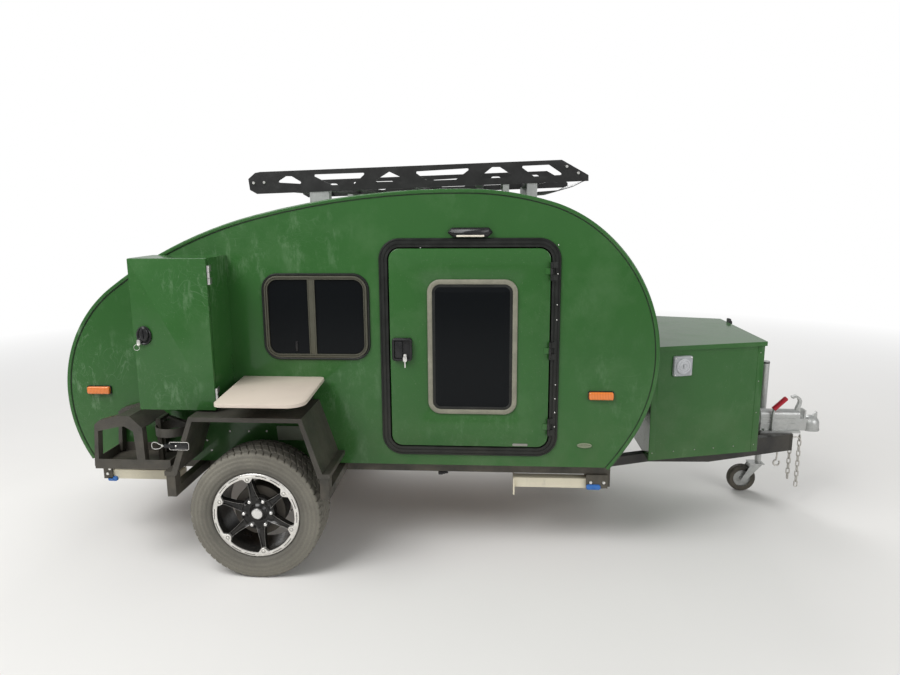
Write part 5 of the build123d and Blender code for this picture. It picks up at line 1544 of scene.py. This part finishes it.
class TRAILER_OT_toolbox_fittings(bpy.types.Operator):
    """Power inlet, lid latch and screws of the front toolbox"""

    bl_idname = "trailer.toolbox_fittings"
    bl_label = "Toolbox fittings"

    def execute(self, context):
        # The slanted right-hand side: from its rear edge forward, up, outwards
        rear, front = np.array((2012.0, -566.0)), np.array((2652.0, -386.0))
        run = (front - rear) / np.linalg.norm(front - rear)
        axes = np.array([[run[0], run[1], 0], [0, 0, 1], [run[1], -run[0], 0]])
        origin = (rear[0], rear[1], 0)
        inlet_a, inlet_z, corner, screw_r = 169.3, 992.0, 46.0, 3.6
        self.inlet(inlet_a, inlet_z, origin, axes)
        angles = [
            plate(rounded(a0, a1, 474.0, 1077.0, 1.5, 3), edged(0.2, 1.6, 0.5), origin, axes)
            for a0, a1 in ((2.0, 36.0), (624.0, 663.0))
        ]
        keep_both("box_angles", angles, green_paint())
        spots = [(inlet_a + i * corner, inlet_z + k * corner, 15.8) for k in (1, -1) for i in (-1, 1)]
        heads = screws(at(spots, origin, axes), screw_r, axes)
        keep("inlet_screws", [heads], "trailer", bright_metal())
        spots = [(a, 514.0, 0.6) for a in (20.0, 148.0, 275.0, 390.0, 514.0, 640.0)]
        spots += [(640.0, height, 0.6) for height in (700.0, 880.0, 1040.0)]
        heads = screws(at(spots, origin, axes), screw_r, axes)
        dull = bright_metal("dull_screw", (0.30, 0.33, 0.27), rough=0.4)
        keep_both("box_screws", [heads], dull)
        front_x, latch_y = 2661.0, 255.0
        place = (front_x, latch_y, 0)
        grip = plate(rounded(-24, 24, 1040, 1126, 10.0, 5), edged(0.3, 15.0, 4.0), place, FRONT)
        stub = lathe([(0, 0), (15, 0), (15, 21), (12, 25), (0, 25)], (front_x, latch_y, 1098.0), FRONT, 24)
        keep("lid_latch", [grip, stub], "box_lid", black_plastic())
        return {"FINISHED"}

    def inlet(self, a, z, origin, axes):
        """A square cover with a round dial and a knob, its middle at (a, z) on the side."""
        half = 54.0
        square = rounded(a - half, a + half, z - half, z + half, 8.0, 5)
        box = plate(square, [(0, 0.2), (0, 12), (-2, 15), (-6, 16)], origin, axes)
        face = (
            (0, 15), (42, 15), (42, 19), (40, 21.5), (34, 22.5), (31, 20), (26, 20), (24, 22), (17, 22),
            (15, 20), (0, 20),
        )
        dial = lathe(face, at((a, z, 0), origin, axes), axes, 40)
        knob = plate(rounded(a - 4, a + 4, z - 12, z + 12, 3.5, 4), edged(19.5, 24.0, 1.5), origin, axes)
        grey = plain_plastic("inlet_grey", (0.36, 0.37, 0.39))
        keep("inlet_cover", [box, knob], "trailer", grey, ["power_inlet"])
        pale = plain_plastic("pale_dial", (0.46, 0.47, 0.49))
        keep("inlet_dial", [dial], "trailer", pale)


class TRAILER_OT_coupling(bpy.types.Operator):
    """Coupling bolts, handbrake grip, round chain links and the hook"""

    bl_idname = "trailer.coupling"
    bl_label = "Coupling"

    def execute(self, context):
        lean = math.radians(45.0)
        c, s = math.cos(lean), math.sin(lean)
        axes = np.array([[0, 1.0, 0], [-s, 0, c], [c, 0, s]])
        ribs = [(16.0 - 1.6 * (i % 2), -49 + 5.0 * i) for i in range(20)]
        grip = lathe([(0, -52), (12, -52), *ribs, (11, 51), (0, 52)], (2899.5, -52, 656), axes, 24)
        red = plain_plastic("red_grip", GRIP_RED)
        keep("brake_grip", [grip], "trailer", red, ["brake_lever"])
        rod = [(2864.5, -52, 486), (2864.5, -52, 560), (2864.5, -52, 612), (2880, -52, 636)]
        heads = [(x, y, 485.0) for x in (2822.0, 2870.0) for y in (-50.0, 50.0)]
        parts = [tube(eased(rod), 7.0, (0, 1, 0), 14), bolts(heads, 9.0, DECK)]
        keep("coupler_bolts", parts, "trailer", galvanised())
        self.chains()
        return {"FINISHED"}

    def chains(self):
        """Stadium links of round bar, each turned a quarter from the last: the centre line is two half
        circles of radius w joined by straight runs."""
        long, wide, bar, top = 46.0, 26.0, 3.6, 440.0
        pitch = long - 4 * bar + 1.0
        w = wide / 2 - bar
        turn = np.linspace(0, math.pi, 9)
        half = np.stack([w * np.cos(turn), (long / 2 - bar - w) + w * np.sin(turn)], -1)
        line = np.concatenate([half, -half])
        across, fore = (
            tube(np.insert(line, place, 0.0, axis=1), bar, up, 10, closed=True)
            for place, up in ((1, (0, 1, 0)), (0, (1, 0, 0)))
        )
        parts = []
        # x, y and number of links of each chain
        for x, y, count in ((3000.0, -6.0, 9), (3034.0, -50.0, 10)):
            places = np.array([(x, y, top - i * pitch) for i in range(count)])
            parts += [copies(fore, places[0::2]), copies(across, places[1::2])]
            parts.append(tube([(2980.0, y, top + 6), (x + 4, y, top + 6)], 5.0, (0, 0, 1)))
        hook_x, hook_y, hook_z, r = 2908.0, -50.0, 280.0, 18.0
        turn = np.linspace(math.radians(100), math.radians(395), 24)
        bend = np.stack([hook_x + r * np.cos(turn), np.full(24, hook_y), hook_z + r * np.sin(turn)], -1)
        stem = [(hook_x, hook_y, 372.0), (hook_x, hook_y, 330.0), (hook_x - 2, hook_y, 302.0)]
        parts.append(tube(eased(np.concatenate([stem, bend]), 1), 5.0, (0, 1, 0)))
        zinc = galvanised("chain_zinc", (0.62, 0.60, 0.56), dust=0.02)
        keep("chain_links", parts, "trailer", zinc, ["safety_chains"])


class TRAILER_OT_jockey(bpy.types.Operator):
    """Jockey wheel with a ribbed tyre and hub, and the mast's cap"""

    bl_idname = "trailer.jockey"
    bl_label = "Jockey wheel"

    def execute(self, context):
        low, high = span("jockey_wheel")
        middle = (low + high) / 2
        r, wide = (high[2] - low[2]) / 2, high[1] - low[1]
        s = np.linspace(-1.0, 1.0, 25)
        rib = 2.0 * ((np.abs(s) < 0.85) & np.isin(np.arange(25) % 4, (1, 2)))
        crown = np.stack([r - 10 * np.abs(s) ** 4 - rib, s * wide / 2 * 0.96], -1)
        bead_r, bead_half = r * 0.62, wide * 0.42
        tyre = lathe([(bead_r, -bead_half), *crown, (bead_r, bead_half)], middle, steps=48, closed=True)
        rubber = rubber_seal("jockey_rubber", (0.02, 0.02, 0.02), dust=0.5)
        keep("jockey_tyre", [tyre], "jockey_roller", rubber, ["jockey_wheel"])
        half = [(12, 22), (12, 10), (16, 8), (50, 12), (56, 20)]
        front = [(a, b) for a, b in reversed(half)]
        back = [(a, -b) for a, b in half]
        hub = lathe([(0, -22), *back, *front, (0, 22)], middle, steps=40)
        keep("jockey_hub", [hub], "jockey_roller", galvanised())
        top = span("jockey_mast")[1][2]
        pole_x, pole_y = 2890.0, 185.0
        cap = [(0, 0), (25, 0), (25, 8), (20, 12), (0, 12)]
        cap = lathe(cap, (pole_x, pole_y, top - 12.5), np.eye(3), 28)
        keep("mast_cap", [cap], "trailer", black_plastic())
        return {"FINISHED"}


class TRAILER_OT_rack_fittings(bpy.types.Operator):
    """Bolts of the roof rack"""

    bl_idname = "trailer.rack_fittings"
    bl_label = "Rack fittings"

    def execute(self, context):
        spots = side_places([(-102, 1962), (-45, 1964), (1541, 2031), (1600, 1998)], 510.0)
        keep_both("rack_bolts", [bolts(spots, sizes().bolt / MM)], bright_metal())
        return {"FINISHED"}


class TRAILER_OT_leg_fittings(bpy.types.Operator):
    """Bolts and blue crank guards of the corner legs, and the plug under the floor"""

    bl_idname = "trailer.leg_fittings"
    bl_label = "Leg fittings"

    def execute(self, context):
        spots = side_places([(1687, 400), (1755, 400), (-950, 395), (-936, 424)], 705.0)
        keep_both("leg_bolts", [bolts(spots, 9.0)], bright_metal())
        guards = [
            plate(rounded(x, x + wide, z, z + 26, 10.0, 5), edged(depth, depth + 13.8, 4.0))
            for x, wide, z, depth in ((1664, 74, 362, 705.2), (-956, 54, 350, 691.2))
        ]
        blue = plain_plastic("blue_guard", (0.035, 0.14, 0.42), rough=0.35)
        keep_both("crank_guards", guards, blue)
        profile = [(0, 0), (11, 0), (13, 3), (13, 22), (9, 26), (9, 36), (6, 38), (5, 52), (0, 53)]
        plug = lathe(profile, (879.0, -668.0, 425.0), FRONT, 20)
        keep("wire_plug", [plug], "trailer", black_plastic())
        return {"FINISHED"}


class TRAILER_PT_panel(bpy.types.Panel):
    """Sidebar panel with the steps and settings"""

    bl_label = "Teardrop trailer"
    bl_idname = "TRAILER_PT_panel"
    bl_space_type = "VIEW_3D"
    bl_region_type = "UI"
    bl_category = "Trailer"

    def draw(self, context):
        for step in STEPS:
            self.layout.operator(step.bl_idname)
        for name in SETTINGS:
            settings = getattr(context.scene, name)
            box = self.layout.box()
            for key in settings.__annotations__:
                box.prop(settings, key)


STEPS = (
    TRAILER_OT_stage,
    TRAILER_OT_finishes,
    TRAILER_OT_mouldings,
    TRAILER_OT_door_frames,
    TRAILER_OT_doors,
    TRAILER_OT_sliding_windows,
    TRAILER_OT_lockers,
    TRAILER_OT_tyres,
    TRAILER_OT_wheels,
    TRAILER_OT_fender_fittings,
    TRAILER_OT_tables,
    TRAILER_OT_lamps,
    TRAILER_OT_rear_fittings,
    TRAILER_OT_mattress,
    TRAILER_OT_galley,
    TRAILER_OT_toolbox_fittings,
    TRAILER_OT_coupling,
    TRAILER_OT_jockey,
    TRAILER_OT_rack_fittings,
    TRAILER_OT_leg_fittings,
)
SETTINGS = {"trailer_finish": TrailerFinish, "trailer_sizes": TrailerSizes, "trailer_stage": TrailerStage}
CLASSES = (*SETTINGS.values(), *STEPS, TRAILER_PT_panel)


def register():
    """Register the classes and put the settings on the scene."""
    for made in CLASSES:
        bpy.utils.register_class(made)
    for name, made in SETTINGS.items():
        setattr(bpy.types.Scene, name, PointerProperty(type=made))


def unregister():
    """Take the settings and the classes away again."""
    for name in SETTINGS:
        delattr(bpy.types.Scene, name)
    for made in reversed(CLASSES):
        bpy.utils.unregister_class(made)


def main():
    """Run every step in order."""
    register()
    for step in STEPS:
        area, name = step.bl_idname.split(".")
        getattr(getattr(bpy.ops, area), name)()


if __name__ == "__main__":
    main()
